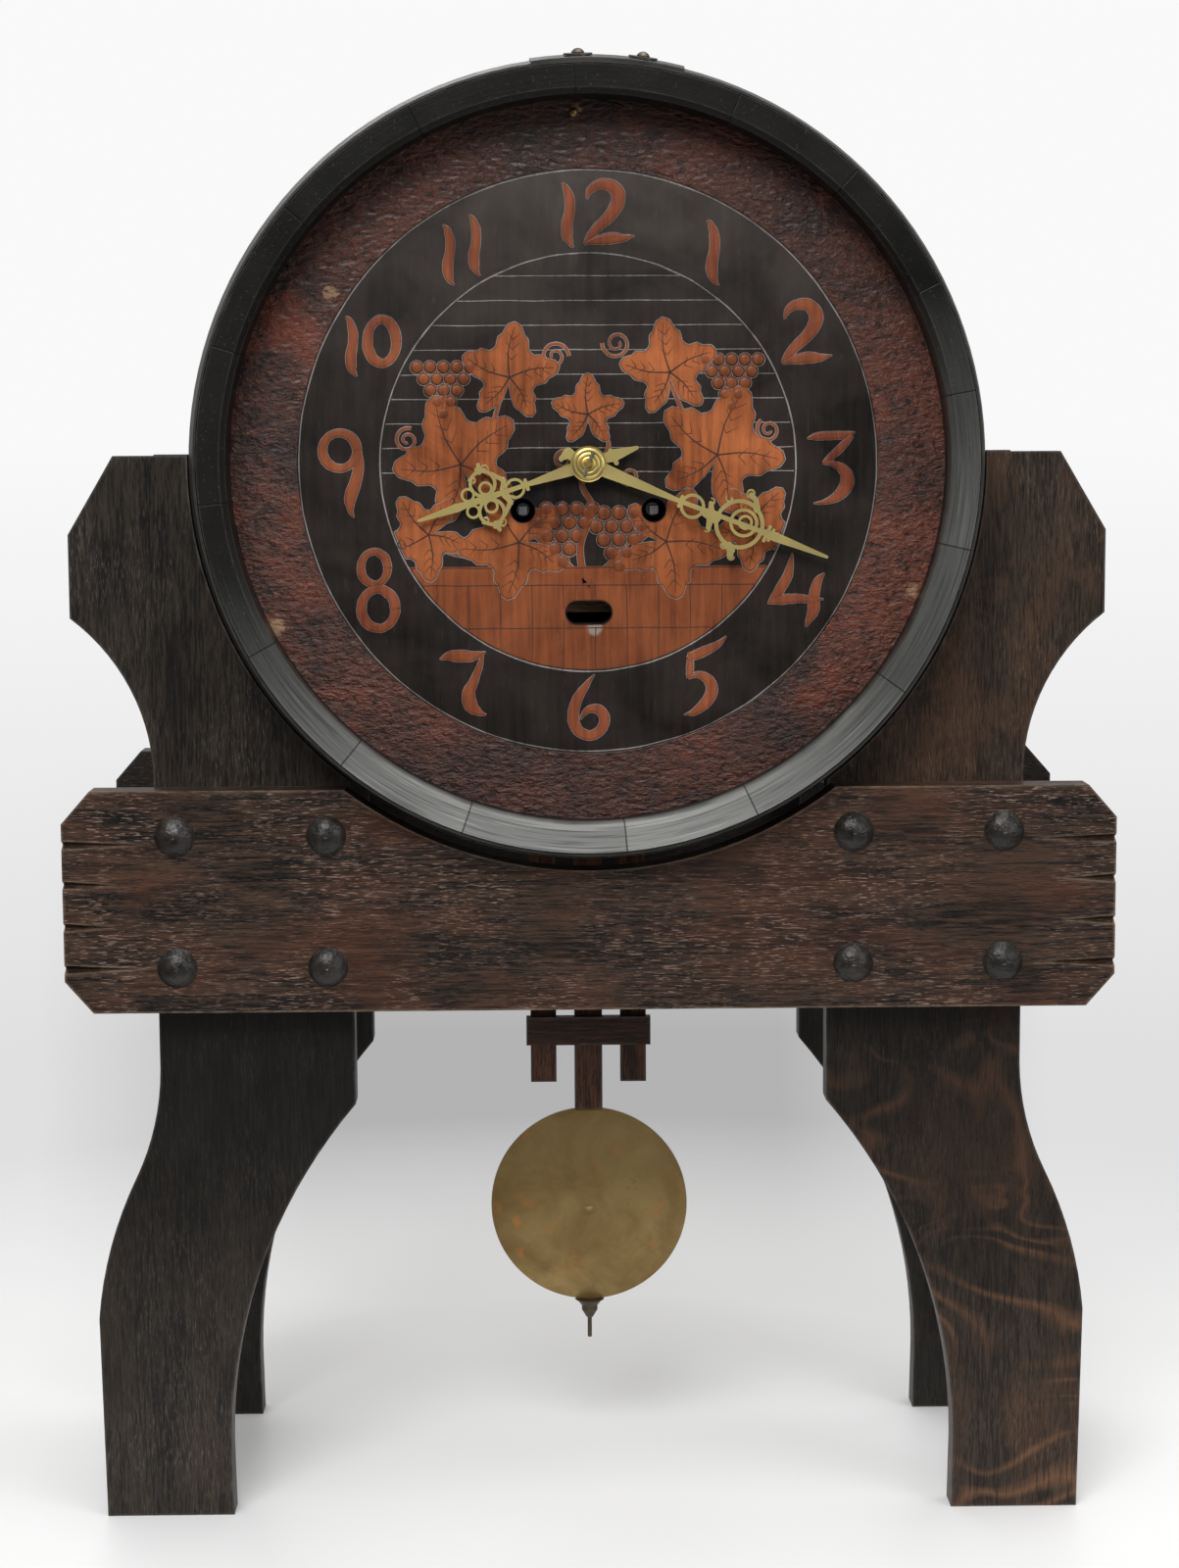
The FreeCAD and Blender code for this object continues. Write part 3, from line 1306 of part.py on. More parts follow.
def click(name, side, low_y, click_at):
    """A pawl whose nose just clears the saw teeth."""
    centre = great_place(side)
    pivot = step(centre, n.click_reach, click_at)
    nose = n.ratchet_radius + n.pallet_clearance
    hub = n.hub_radius
    lean = click_at + CLICK_SPAN
    tip = step(centre, nose, lean)
    crown = step(centre, nose + n.click_thick, lean - CLICK_SPAN / 8)
    away = facing(tip, pivot)
    inner = step(pivot, hub, away - QUARTER_TURN)
    outer = step(pivot, hub, away + QUARTER_TURN)
    arm = slice_at([tip, inner, outer, crown], low_y, n.click_thick, 0, 0)
    eye = rod(*pivot, low_y, low_y + n.click_thick, hub)
    body = arm.fuse(eye).cut(rod(*pivot, low_y - n.click_thick, low_y + 2 * n.click_thick,
                                 n.click_stud_radius + n.bore_ease))
    clear = rod(*centre, low_y - n.click_thick, low_y + 2 * n.click_thick, nose)
    node(name, feature(name, body.cut(clear).removeSplitter()))


def winding_arbor(name, side, ratchet_y, spring_y):
    """A squared arbor with its ratchet and the drum inside the spring."""
    x, z = great_place(side)
    front, rear = n.plate_front - n.cleat_deep / 2, n.back_inside - n.arbor_shake
    half = n.square_side / 2
    square = bar((x - half, x + half), (n.head_front + n.square_setback, front), (z - half, z + half))
    drum = n.spring_inner_radius - n.arbor_shake
    spring = rod(x, z, spring_y, spring_y + n.spring_wide, drum)
    great_low, great_high = sorted((ratchet_y, rear))
    core = rod(x, z, front, max(ratchet_y + n.click_thick, spring_y + n.spring_wide), n.winding_radius)
    beyond = rod(x, z, great_low, great_high, n.winding_radius)
    tail = rod(x, z, great_low, n.back_outside, n.winding_rear_radius)
    node(name, feature(name, fused([square, core, beyond, tail, spring, ratchet((x, z), ratchet_y)])))


def mainspring(name, side, low_y):
    """A strip wound in half turns, its end bent round a pillar."""
    x, z = great_place(side)
    rise, thick = n.spring_pitch / 2, n.spring_strip
    spans = []
    radius, upper = n.spring_inner_radius, True
    while radius + thick < n.spring_outer_radius or not upper:
        spans.append((0 if upper else rise, 0, radius, 0 if upper else FULL_TURN / 2, FULL_TURN / 2))
        radius += rise
        upper = not upper
    # The run from the coil to the pillar touches both circles.
    loop = n.pillar_radius + n.bore_ease
    away_x, away_z = n.pillar_side - n.arbor_side, n.arbor_drop - n.pillar_rise
    toward = facing((0, 0), (away_x, away_z))
    leave = toward - math.degrees(math.acos((radius - loop) / math.hypot(away_x, away_z)))
    spans.append((0, 0, radius, 0, leave % FULL_TURN))
    spans.append((away_x, away_z, loop, leave, FULL_TURN * 3 / 4))

    def spot(span, outward, share):
        dx, dz = polar(span[2] + outward, span[3] + span[4] * share)
        return Vector(x + side * (span[0] + dx), low_y, z + span[1] + dz)

    edges = []
    for outward in (0, thick):
        for i, span in enumerate(spans):
            if i == len(spans) - 1:
                edges.append(Part.LineSegment(spot(spans[i - 1], outward, 1),
                                              spot(span, outward, 0)).toShape())
            edges.append(Part.Arc(spot(span, outward, 0), spot(span, outward, 0.5),
                                  spot(span, outward, 1)).toShape())
    for share, span in ((0, spans[0]), (1, spans[-1])):
        edges.append(Part.LineSegment(spot(span, 0, share), spot(span, thick, share)).toShape())
    face = Part.Face(Part.Wire(Part.__sortEdges__(edges)))
    node(name, feature(name, face.extrude(BACKWARD * n.spring_wide)))
    print("%s: least gap between its turns %.2f mm" % (name, n.spring_pitch - thick))


def build_great_wheels():
    """Both great wheels with their arbors, clicks and mainsprings."""
    where = places()
    time_y, strike_y = depth("time_great_depth"), depth("strike_great_depth")
    click_y = time_y + n.great_wheel_thick + n.arbor_shake
    spring_y = click_y + n.click_thick + n.spring_shake
    great_wheel("time_great_wheel", 1, time_y, facing(great_place(1), where["centre"]), click_y,
                TIME_CLICK_DIRECTION)
    winding_arbor("time_winding_arbor", 1, click_y, spring_y)
    click("time_click", 1, click_y, TIME_CLICK_DIRECTION)
    mainspring("time_mainspring", 1, spring_y)
    click_y = strike_y - n.arbor_shake - n.click_thick
    spring_y = click_y - n.spring_shake - n.spring_wide
    great_wheel("strike_great_wheel", -1, strike_y, PIN_WHEEL_DIRECTION, click_y, STRIKE_CLICK_DIRECTION)
    winding_arbor("strike_winding_arbor", -1, click_y, spring_y)
    click("strike_click", -1, click_y, STRIKE_CLICK_DIRECTION)
    mainspring("strike_mainspring", -1, spring_y)


def build_strike_train():
    where = places()
    fine, thick = n.fine_module, n.wheel_thick
    great_y, pin_y = depth("strike_great_depth"), depth("pin_wheel_depth")
    warning_y = depth("warning_wheel_depth")
    pin, warning, fly = where["pin"], where["warning"], where["fly"]
    x, z = pin
    inner = n.pin_circle_radius - 2 * n.lifting_pin_radius
    turning = [wheel(PIN_WHEEL_TEETH, fine, pin, pin_y, thick, WARNING_DIRECTION, inner)]
    for i in range(LIFTING_PINS):
        spot = step(pin, n.pin_circle_radius, FULL_TURN / LIFTING_PINS * i)
        turning.append(rod(*spot, pin_y, pin_y + thick + n.lifting_pin_long, n.lifting_pin_radius))
    turning.append(pinion(PIN_WHEEL_PINION, n.great_module, pin, great_y, n.great_wheel_thick,
                          PIN_WHEEL_DIRECTION + FULL_TURN / 2))
    count_y = n.back_outside + n.count_wheel_offset
    long = n.count_disc_thick + n.arbor_shake
    turning.append(toothed(COUNT_PINION, fine, pin, count_y, long,
                           space_toward(COUNT_PINION, COUNT_DIRECTION)))
    node("pin_wheel", feature("pin_wheel", arbor(pin, turning, count_y + long)))
    node("warning_wheel", feature("warning_wheel", arbor(warning, [
        pinion(WARNING_PINION, fine, warning, pin_y, thick, WARNING_DIRECTION + FULL_TURN / 2),
        wheel(WARNING_TEETH, fine, warning, warning_y, thick, FLY_DIRECTION)])))
    x, z = fly
    vane_y = warning_y + thick + n.fly_offset
    vane = bar((x - n.fly_half_wide, x + n.fly_half_wide), (vane_y, vane_y + n.fly_long),
               (z - n.fly_thick / 2, z + n.fly_thick / 2))
    node("fly", feature("fly", arbor(fly, [
        pinion(FLY_PINION, fine, fly, warning_y, thick, FLY_DIRECTION + FULL_TURN / 2), vane])))


def build_motion_work():
    """The wheels in front of the front plate that carry the hands."""
    centre, post = (0, n.barrel_rise), (n.minute_post_x, n.minute_post_z)
    bore = n.centre_front_radius + n.bore_ease
    thick = n.motion_wheel_thick
    minute_y = n.plate_front - n.minute_wheel_standoff - thick
    hour_y = n.plate_front - n.hour_wheel_standoff - thick
    back = MINUTE_WHEEL_DIRECTION + FULL_TURN / 2
    leaves = pinion(CANNON_TEETH, n.motion_module, centre, minute_y, thick, MINUTE_WHEEL_DIRECTION)
    pipe = rod(*centre, minute_front(), minute_y, n.cannon_outer_radius)
    through = rod(*centre, collet_front(), n.plate_front, bore)
    node("cannon_pinion", feature("cannon_pinion", fused([leaves, pipe]).cut(through)))

    rim = toothed(MINUTE_TEETH, n.motion_module, post, minute_y, thick, back)
    leaves = pinion(MINUTE_PINION, n.hour_module, post, hour_y, thick, back)
    root = n.hour_module * (MINUTE_PINION / 2 - TOOTH_DEDENDUM_SHARE)
    hub = rod(*post, hour_y, n.plate_front - n.arbor_shake, root)
    through = rod(*post, n.plate_front - n.minute_stud_long, n.plate_front, bore)
    node("minute_wheel", feature("minute_wheel", fused([rim, leaves, hub]).cut(through)))

    rim = toothed(HOUR_TEETH, n.hour_module, centre, hour_y, thick, MINUTE_WHEEL_DIRECTION)
    pipe = rod(*centre, hour_front(), hour_y + thick, n.hour_pipe_radius)
    through = rod(*centre, hour_front() - thick, n.plate_front, n.cannon_outer_radius + n.bore_ease)
    node("hour_wheel", feature("hour_wheel", fused([rim, pipe]).cut(through)))


def hour_front():
    return n.head_front - n.hour_hand_standoff - n.hand_thick


def minute_front():
    return hour_front() - n.hand_gap - n.hand_thick


def collet_front():
    return minute_front() - n.collet_thick


def taper_pin_way():
    dx, dz = polar(1, TAPER_PIN_DIRECTION)
    return Vector(dx, 0, dz)


def taper_pin_base():
    middle = Vector(0, collet_front() - n.taper_pin_radius - n.bore_ease, n.barrel_rise)
    return middle - taper_pin_way() * (n.taper_pin_long / 2)


def limb(start, end, low_y, thick):
    """A smooth bar between two round ends, each given as x, z and radius."""
    distance = math.hypot(end[0] - start[0], end[1] - start[1])
    way = facing(start, end)
    swing = math.degrees(math.acos((start[2] - end[2]) / distance))

    def on(ring, degrees):
        x, z = step(ring[:2], ring[2], way + degrees)
        return Vector(x, low_y, z)

    edges = [Part.Arc(on(start, swing), on(start, FULL_TURN / 2), on(start, -swing)).toShape(),
             Part.LineSegment(on(start, -swing), on(end, -swing)).toShape(),
             Part.Arc(on(end, -swing), on(end, 0), on(end, swing)).toShape(),
             Part.LineSegment(on(end, swing), on(start, swing)).toShape()]
    return Part.Face(Part.Wire(edges)).extrude(BACKWARD * thick)


def pierced_hand(name, ring_shares, limb_shares, long, degrees, low_y, bore):
    """A hand cut from sheet: rings and tapering limbs that grow out of its hub."""
    def spot(along, across):
        return step(step((0, n.barrel_rise), long * along, degrees), long * across, degrees + QUARTER_TURN)

    high_y = low_y + n.hand_thick
    pieces = [rod(0, n.barrel_rise, low_y, high_y, n.hand_hub_radius)]
    for along, across, radius, stroke in ring_shares:
        pieces.append(tube(*spot(along, across), low_y, high_y, long * radius, long * (radius - stroke)))
    for along_a, across_a, half_a, along_b, across_b, half_b in limb_shares:
        pieces.append(limb(spot(along_a, across_a) + (long * half_a,),
                           spot(along_b, across_b) + (long * half_b,),
                           low_y, n.hand_thick))
    eye = rod(0, n.barrel_rise, low_y - n.hand_thick, high_y + n.hand_thick, bore + n.bore_ease)
    node(name, feature(name, fused(pieces).cut(eye)))


def build_hands():
    pierced_hand("hour_hand", HOUR_RING_SHARES, HOUR_LIMB_SHARES, n.hour_hand_long, HOUR_HAND_DIRECTION,
                 hour_front(), n.hour_pipe_radius)
    pierced_hand("minute_hand", MINUTE_RING_SHARES, MINUTE_LIMB_SHARES, n.minute_hand_long,
                 MINUTE_HAND_DIRECTION, minute_front(), n.cannon_outer_radius)
    bore, edge, thick = n.centre_front_radius + n.bore_ease, n.collet_radius, n.collet_thick
    profile = [(bore, 0), (edge, 0), (edge, thick / 3), (edge * 2 / 3, thick * 2 / 3),
               (edge / 2, thick * 2 / 3),
               (edge / 2, thick), (bore, thick)]
    node("hand_collet",
         feature("hand_collet", lathe(profile, Vector(0, minute_front(), n.barrel_rise), FORWARD)))
    pin = Part.makeCone(n.taper_pin_radius * 2 / 3, n.taper_pin_radius, n.taper_pin_long,
                        taper_pin_base(), taper_pin_way())
    node("taper_pin", feature("taper_pin", pin))


def build_anchor():
    """The anchor on its arbor, with the crutch that drives the pendulum."""
    x, z = 0, n.anchor_z
    low_y = depth("escape_wheel_depth") - (n.anchor_thick - n.motion_wheel_thick) / 2
    hub = rod(x, z, low_y, low_y + n.anchor_thick, n.hub_radius)
    pieces = [hub]
    centre = (0, n.escape_z)
    tip = n.escape_radius + n.pallet_clearance
    base = n.escape_radius + n.anchor_thick
    for degrees in (PALLET_DIRECTION, FULL_TURN / 2 - PALLET_DIRECTION):
        half = n.pallet_clearance
        spread = math.degrees(math.atan2(half + (base - tip) * math.tan(math.radians(PALLET_LEAN)), base))
        narrow = math.degrees(math.atan2(half, tip))
        wedge = [step(centre, tip, degrees - narrow), step(centre, base, degrees - spread),
                 step(centre, base, degrees + spread), step(centre, tip, degrees + narrow)]
        pieces.append(slice_at(wedge, low_y, n.anchor_thick, 0, 0))
        knee = step(centre, base + n.anchor_thick / 2, degrees)
        pieces.append(limb((x, z, n.hub_radius / 2), knee + (n.anchor_thick / 2 + n.pallet_clearance,),
                           low_y, n.anchor_thick))
    crutch_y = n.back_outside + n.crutch_offset
    pivot_y = n.back_outside + n.pivot_plate_offset
    pieces.append(rod(x, z, n.plate_inside + n.arbor_shake, pivot_y - n.arbor_shake, n.arbor_radius))
    pieces.append(rod(x, z, n.plate_front, pivot_y + n.cock_foot_thick, n.pivot_radius))
    pieces.append(rod(x, z, crutch_y, crutch_y + n.crutch_thick, n.hub_radius))
    pieces.append(bar((-n.crutch_wide / 2, n.crutch_wide / 2), (crutch_y, crutch_y + n.crutch_thick),
                      (n.crutch_z - n.crutch_wide / 2, z)))
    pieces.append(rod(x, n.crutch_z, crutch_y, crutch_y + n.crutch_thick + n.crutch_pin_long,
                      n.crutch_pin_radius))
    node("anchor", feature("anchor", fused(pieces)))


def build_suspension():
    """The cock behind the back plate and the spring that hangs from it."""
    z, half, thick = n.anchor_z, n.cock_half_wide, n.cock_foot_thick
    across = (-half, half)
    top = z + n.cock_rise + n.cock_high
    inner = n.suspension_wide / 2 + n.fork_gap
    outer = inner + n.fork_thick
    pivot_y = n.back_outside + n.pivot_plate_offset
    pieces = [bar(across, (n.back_outside, n.back_outside + thick), (z + n.cock_foot_rise, n.plate_high)),
              bar(across, (n.back_outside, outer), (z + n.cock_rise, top)),
              bar(across, (pivot_y, pivot_y + thick), (z - n.pivot_plate_drop, top))]
    pieces += [bar(across, span, (z - n.fork_thick, top)) for span in ((-outer, -inner), (inner, outer))]
    holes = [rod(0, z, pivot_y - thick, pivot_y + 2 * thick, n.pivot_hole),
             rod(0, z, -outer - thick, outer + thick, n.suspension_pin_radius + n.bore_ease)]
    node("suspension_cock", feature("suspension_cock", fused(pieces).cut(Part.makeCompound(holes))))

    wide, chop, high = n.suspension_wide / 2, n.chop_thick / 2, n.chop_high / 2
    low = z - n.suspension_long
    strip = n.suspension_strip / 2
    pieces = [bar((-chop, chop), (-wide, wide), (level - high, level + high)) for level in (low, z)]
    pieces.append(bar((-strip, strip), (-wide, wide), (low, z)))
    pieces.append(rod(0, z, -outer, outer, n.suspension_pin_radius))
    node("suspension_spring", feature("suspension_spring", fused(pieces)))


def build_pendulum():
    """Wooden stick, strips and crossbars above, a steel rod and brass bob below."""
    half, deep = s.stick_wide * 0.5, s.stick_thick * 0.5
    stick = block("stick_blank", (-half, -deep, s.stick_low), (half, deep, s.anchor_z - s.stick_top_drop))
    y = (-n.stick_thick, n.stick_thick)
    bottom = n.anchor_z - n.suspension_long - n.chop_high / 2 - n.bore_ease
    chop = n.chop_thick / 2 + n.bore_ease
    spaces = [bar((-chop, chop), y, (bottom, n.anchor_z)),
              bar((-n.crutch_slot_wide / 2, n.crutch_slot_wide / 2), y,
                  (n.crutch_z - n.crutch_slot_high / 2, n.crutch_z + n.crutch_slot_high / 2)),
              Part.makeCylinder(n.rod_radius + n.bore_ease, 2 * n.rod_socket,
                                Vector(0, 0, n.stick_low - n.rod_socket), UP)]
    node("pendulum_stick", cut("pendulum_stick", stick, Part.makeCompound(spaces)))

    strips = []
    for side in (-1, 1):
        middle = s.strip_centre * side
        strips.append(block("strip_blank", (middle - s.strip_wide * 0.5, -deep, s.strip_low),
                            (middle + s.strip_wide * 0.5, deep, s.strip_high)))
    node("pendulum_side_strips", group("side_strips", strips))
    bars = []
    for level in (s.lower_crossbar, s.upper_crossbar):
        bars.append(block("crossbar_blank", (-s.crossbar_half_wide, -deep - s.crossbar_thick, level),
                          (s.crossbar_half_wide, -deep, level + s.crossbar_high)))
    node("pendulum_crossbars", group("crossbars", bars))

    steel = Part.makeCylinder(n.rod_radius, n.stick_low + n.rod_socket - n.rod_low,
                              Vector(0, 0, n.rod_low), UP)
    node("pendulum_rod", feature("pendulum_rod", steel))
    radius = n.bob_radius
    upper = dome(radius, n.bob_edge_half, n.bob_half_thick - n.bob_edge_half)
    lower = [(point[0], -point[1]) + tuple(point[2:]) for point in reversed(upper)]
    lens = lathe(lower + upper, Vector(0, 0, n.bob_rise), BACKWARD)
    bore = Part.makeCylinder(n.rod_radius + n.bore_ease, 4 * radius, Vector(0, 0, n.rod_low), UP)
    node("pendulum_bob", feature("pendulum_bob", lens.cut(bore)))

    seat = n.bob_rise - radius
    inner = n.rod_radius + n.bore_ease
    profile = [(inner, -n.cup_high), (n.cup_radius * 2 / 3, -n.cup_high), (n.cup_radius, 0), (inner, 0)]
    node("bob_cup", feature("bob_cup", lathe(profile, Vector(0, 0, seat), UP)))
    top = seat - n.cup_high - n.bore_ease
    collar, cone = n.nut_collar_high, n.nut_collar_high + n.nut_cone_high
    profile = [(inner, 0), (n.nut_collar_radius, 0), (n.nut_collar_radius, -collar),
               (n.nut_tip_radius, -cone),
               (inner, -cone)]
    node("rating_nut", feature("rating_nut", lathe(profile, Vector(0, 0, top), UP)))


def group(name, pieces):
    """Loose pieces that share one node."""
    result = doc.addObject("Part::Compound", name + "_group")
    result.Links = pieces
    doc.recompute()
    return result


def gong_plane():
    return n.back_outside + n.hammer_arm_offset + n.hammer_arm_thick / 2


def build_hammer():
    """The hammer arbor with its tail at the lifting pins and its head beside the gong."""
    x, z = places()["hammer"]
    thick, wide = n.hammer_arm_thick, n.hammer_arm_wide
    arm_y = n.back_outside + n.hammer_arm_offset
    tail_y = depth("pin_wheel_depth") + n.wheel_thick + n.arbor_shake
    reach = n.pin_wheel_x - n.pin_circle_radius - n.lifting_pin_radius - n.hammer_tail_gap
    low_z = z - n.hammer_arm_long
    strike_x = n.gong_x + n.gong_radius + n.gong_wire_radius + n.hammer_gap
    head = Part.makeCylinder(n.hammer_head_radius, n.hammer_head_long,
                             Vector(strike_x, gong_plane(), low_z), RIGHT)
    pieces = [rod(x, z, n.plate_inside + n.arbor_shake, arm_y, n.arbor_radius),
              rod(x, z, n.plate_front, n.plate_inside + n.arbor_shake, n.pivot_radius),
              rod(x, z, arm_y, arm_y + thick, n.hub_radius),
              rod(x, z, tail_y, tail_y + thick, n.hub_radius),
              bar((x - wide / 2, x + wide / 2), (arm_y, arm_y + thick), (low_z, z)),
              bar((x, reach), (tail_y, tail_y + thick), (z - thick / 2, z + thick / 2)), head]
    node("hammer", feature("hammer", fused(pieces)))


def build_gong():
    """A flat coil of wire that stands on a post behind the dial."""
    y, bend, start = gong_plane(), n.gong_bend_radius, n.gong_start_radius
    x, z = n.gong_x, n.gong_z
    rise = (n.gong_radius - start) / (GONG_HALF_TURNS - 1)
    slant = bend * math.sqrt(0.5)
    tang = Vector(x - bend, y - bend - n.gong_tang_long, z - start)
    heel = Vector(x - bend, y - bend, z - start)
    knee = Vector(x - slant, y - bend + slant, z - start)
    point = Vector(x, y, z - start)
    edges = [Part.LineSegment(tang, heel).toShape(), Part.Arc(heel, knee, point).toShape()]
    for i in range(GONG_HALF_TURNS):
        radius = start + rise * i
        side = 1 if i % 2 == 0 else -1
        middle = Vector(x + side * radius, y, point.z + side * radius)
        following = Vector(x, y, point.z + side * 2 * radius)
        edges.append(Part.Arc(point, middle, following).toShape())
        point = following
    ring = Part.Wire(Part.makeCircle(n.gong_wire_radius, tang, BACKWARD))
    coil = Part.Wire(edges).makePipeShell([ring], True, False)
    node("gong", feature("gong", coil))
    print("gong: least gap between its turns %.2f mm" % (2 * rise - 2 * n.gong_wire_radius))

    end = y - bend - n.gong_post_gap
    base = rod(tang.x, tang.z, n.head_back, n.head_back + n.gong_base_thick, n.gong_base_radius)
    post = rod(tang.x, tang.z, n.head_back, end, n.gong_post_radius)
    socket = rod(tang.x, tang.z, tang.y - n.bore_ease, y, n.gong_wire_radius + n.bore_ease)
    node("gong_post", feature("gong_post", fused([base, post]).cut(socket)))


def build_count_work():
    """The count wheel and the lever whose beak drops into its notches."""
    x, z = n.count_x, n.count_z
    y = n.back_outside + n.count_wheel_offset
    disc_y = n.back_outside + n.count_disc_offset
    thick, edge = n.count_disc_thick, n.count_disc_radius
    gear = toothed(COUNT_TEETH, n.fine_module, (x, z), y, thick, COUNT_DIRECTION + FULL_TURN / 2)
    disc = rod(x, z, disc_y, disc_y + thick, edge)
    notches = []
    blows = 0
    for hour in range(1, 13):
        notch = bar((edge - n.count_notch_deep, edge + n.count_notch_deep),
                    (disc_y - thick, disc_y + 2 * thick),
                    (-n.count_notch_wide / 2, n.count_notch_wide / 2))
        notch.rotate(ORIGIN, FORWARD, BEAK_DIRECTION + FULL_TURN * blows / COUNT_TEETH)
        notches.append(notch.translated(Vector(x, 0, z)))
        blows += hour
    disc = disc.cut(notches)
    eye = rod(x, z, y - thick, disc_y + 2 * thick, n.count_stud_radius + n.bore_ease)
    hub = rod(x, z, y, disc_y + thick, n.hub_radius)
    node("count_wheel", feature("count_wheel", fused([gear, disc, hub]).cut(eye)))

    centre, pivot = (x, z), lever_place()
    half = n.count_lever_wide / 2
    tip = edge + n.arbor_shake
    crown = tip + n.count_notch_deep + half
    end = step(centre, crown, BEAK_DIRECTION)
    lean = math.degrees(half / tip) / 2
    beak = slice_at([step(centre, tip, BEAK_DIRECTION), step(centre, crown, BEAK_DIRECTION - lean),
                     step(centre, crown, BEAK_DIRECTION + lean)], disc_y, thick, 0, 0)
    arm = limb(pivot + (half,), end + (half,), disc_y, thick)
    eye = rod(*pivot, disc_y - thick, disc_y + 2 * thick, n.click_stud_radius + n.bore_ease)
    lever = fused([arm, beak, rod(*pivot, disc_y, disc_y + thick, n.hub_radius)]).cut(eye)
    node("count_lever", feature("count_lever", lever))


def check_and_write():
    """Refuse a broken model, then write one file per piece."""
    doc.recompute()
    for item in doc.Objects:
        if "Invalid" in item.State or "Error" in item.State:
            raise RuntimeError("%s failed: %s" % (item.Label, item.State))
    for name, piece in nodes.items():
        if piece.Shape.isNull() or not piece.Shape.isValid():
            raise RuntimeError("%s has no valid shape" % name)
    os.makedirs("parts", exist_ok=True)
    for name, piece in nodes.items():
        piece.Shape.exportStep("parts/%s.step" % name)
        print("%-28s %2d solids %12.1f" % (name, len(piece.Shape.Solids), piece.Shape.Volume))

fill_sheet()
build_boards()
build_nails()
build_legs()
build_staves()
build_hoops()
build_heads()
build_door()
build_cleats()
build_fasteners()
build_plates()
build_great_wheels()
build_going_train()
build_strike_train()
build_motion_work()
build_hands()
build_anchor()
build_suspension()
build_pendulum()
build_hammer()
build_gong()
build_count_work()
check_and_write()
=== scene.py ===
import json
import math

import bmesh
import bpy
from mathutils import Matrix, Vector, noise


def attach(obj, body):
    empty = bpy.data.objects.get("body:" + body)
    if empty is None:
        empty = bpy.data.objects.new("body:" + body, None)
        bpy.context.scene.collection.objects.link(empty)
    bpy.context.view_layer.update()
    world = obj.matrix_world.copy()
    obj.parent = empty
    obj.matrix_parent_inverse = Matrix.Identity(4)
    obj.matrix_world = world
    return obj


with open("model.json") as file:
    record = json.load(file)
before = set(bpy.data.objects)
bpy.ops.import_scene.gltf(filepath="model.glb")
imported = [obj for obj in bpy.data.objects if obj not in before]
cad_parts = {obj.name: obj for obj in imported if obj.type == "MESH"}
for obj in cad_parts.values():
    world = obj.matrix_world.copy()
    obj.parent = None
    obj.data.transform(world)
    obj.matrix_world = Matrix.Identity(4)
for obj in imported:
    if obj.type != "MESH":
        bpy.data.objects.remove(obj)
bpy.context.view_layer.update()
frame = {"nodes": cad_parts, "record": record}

MM = 0.001
NODES = frame["nodes"]
FINISHES = {}

# Camera, fitted to the photograph: metres, degrees, and millimetres of film
CAMERA_PLACE = (-0.02382, -1.53033, 0.54471)
CAMERA_YAW, CAMERA_PITCH, CAMERA_ROLL = 0.945, 6.699, -0.309
CAMERA_LENS, CAMERA_SENSOR = 67.1, 36.0
CAMERA_NEAR, CAMERA_FAR = 0.05, 50

# Lamps: place, point aimed at, width and height in metres, power in watts
LAMPS = {
    "key": ((-0.5, -1.9, 2.0), (0, 0, 0.45), 1.4, 1.0, 46),
    "top": ((0.3, -0.2, 2.3), (0, 0, 0.4), 1.6, 1.2, 22),
    "fill": ((1.7, -1.6, 0.9), (0, 0, 0.4), 1.0, 1.4, 12),
    "back": ((-0.7, 2.0, 2.0), (0, 0, 0.4), 1.4, 1.0, 8),
}

# Floor, in metres: its radius, and where it starts and ends to fade into the background
FLOOR_RADIUS = 2.6
FLOOR_FADE = (0.3, 0.8)

# Dial, in millimetres about the hands' arbor; a hole is its middle and its half sizes
DIAL_RISE = 533.5
DIAL_FACE_Y, BAND_FACE_Y = -97.5, -96.7
CHAPTER_RADIUS, INNER_RADIUS, BAND_RADIUS = 141.4, 101.4, 176.6
HOLES = ((0, 0, 6.6, 6.6), (-32, -22.5, 6.2, 6.2), (32, -22.5, 6.2, 6.2), (0, -72.5, 11.7, 6.1))
COURSE_TOP, COURSE_PITCH, COURSES = 90.5, 11.8, 9
GROUND_RISE = -50.0

# Hands: sheet thickness and length from the arbor in millimetres, direction in degrees
HAND_SHEET = 1.2
HOUR_LONG, HOUR_WAY = 87.5, 198.1
MINUTE_LONG, MINUTE_WAY = 125.5, -21.5


def linear(red, green, blue):
    """A colour read as 8-bit screen values, for a shader's socket."""
    made = []
    for part in (red, green, blue):
        part = part / 255
        made.append(part / 12.92 if part <= 0.04045 else ((part + 0.055) / 1.055) ** 2.4)
    return (*made, 1.0)


def spot(u, v, y):
    """A place in metres; u and v run right and up from the hands' arbor, in millimetres."""
    return Vector((u * MM, y * MM, (v + DIAL_RISE) * MM))


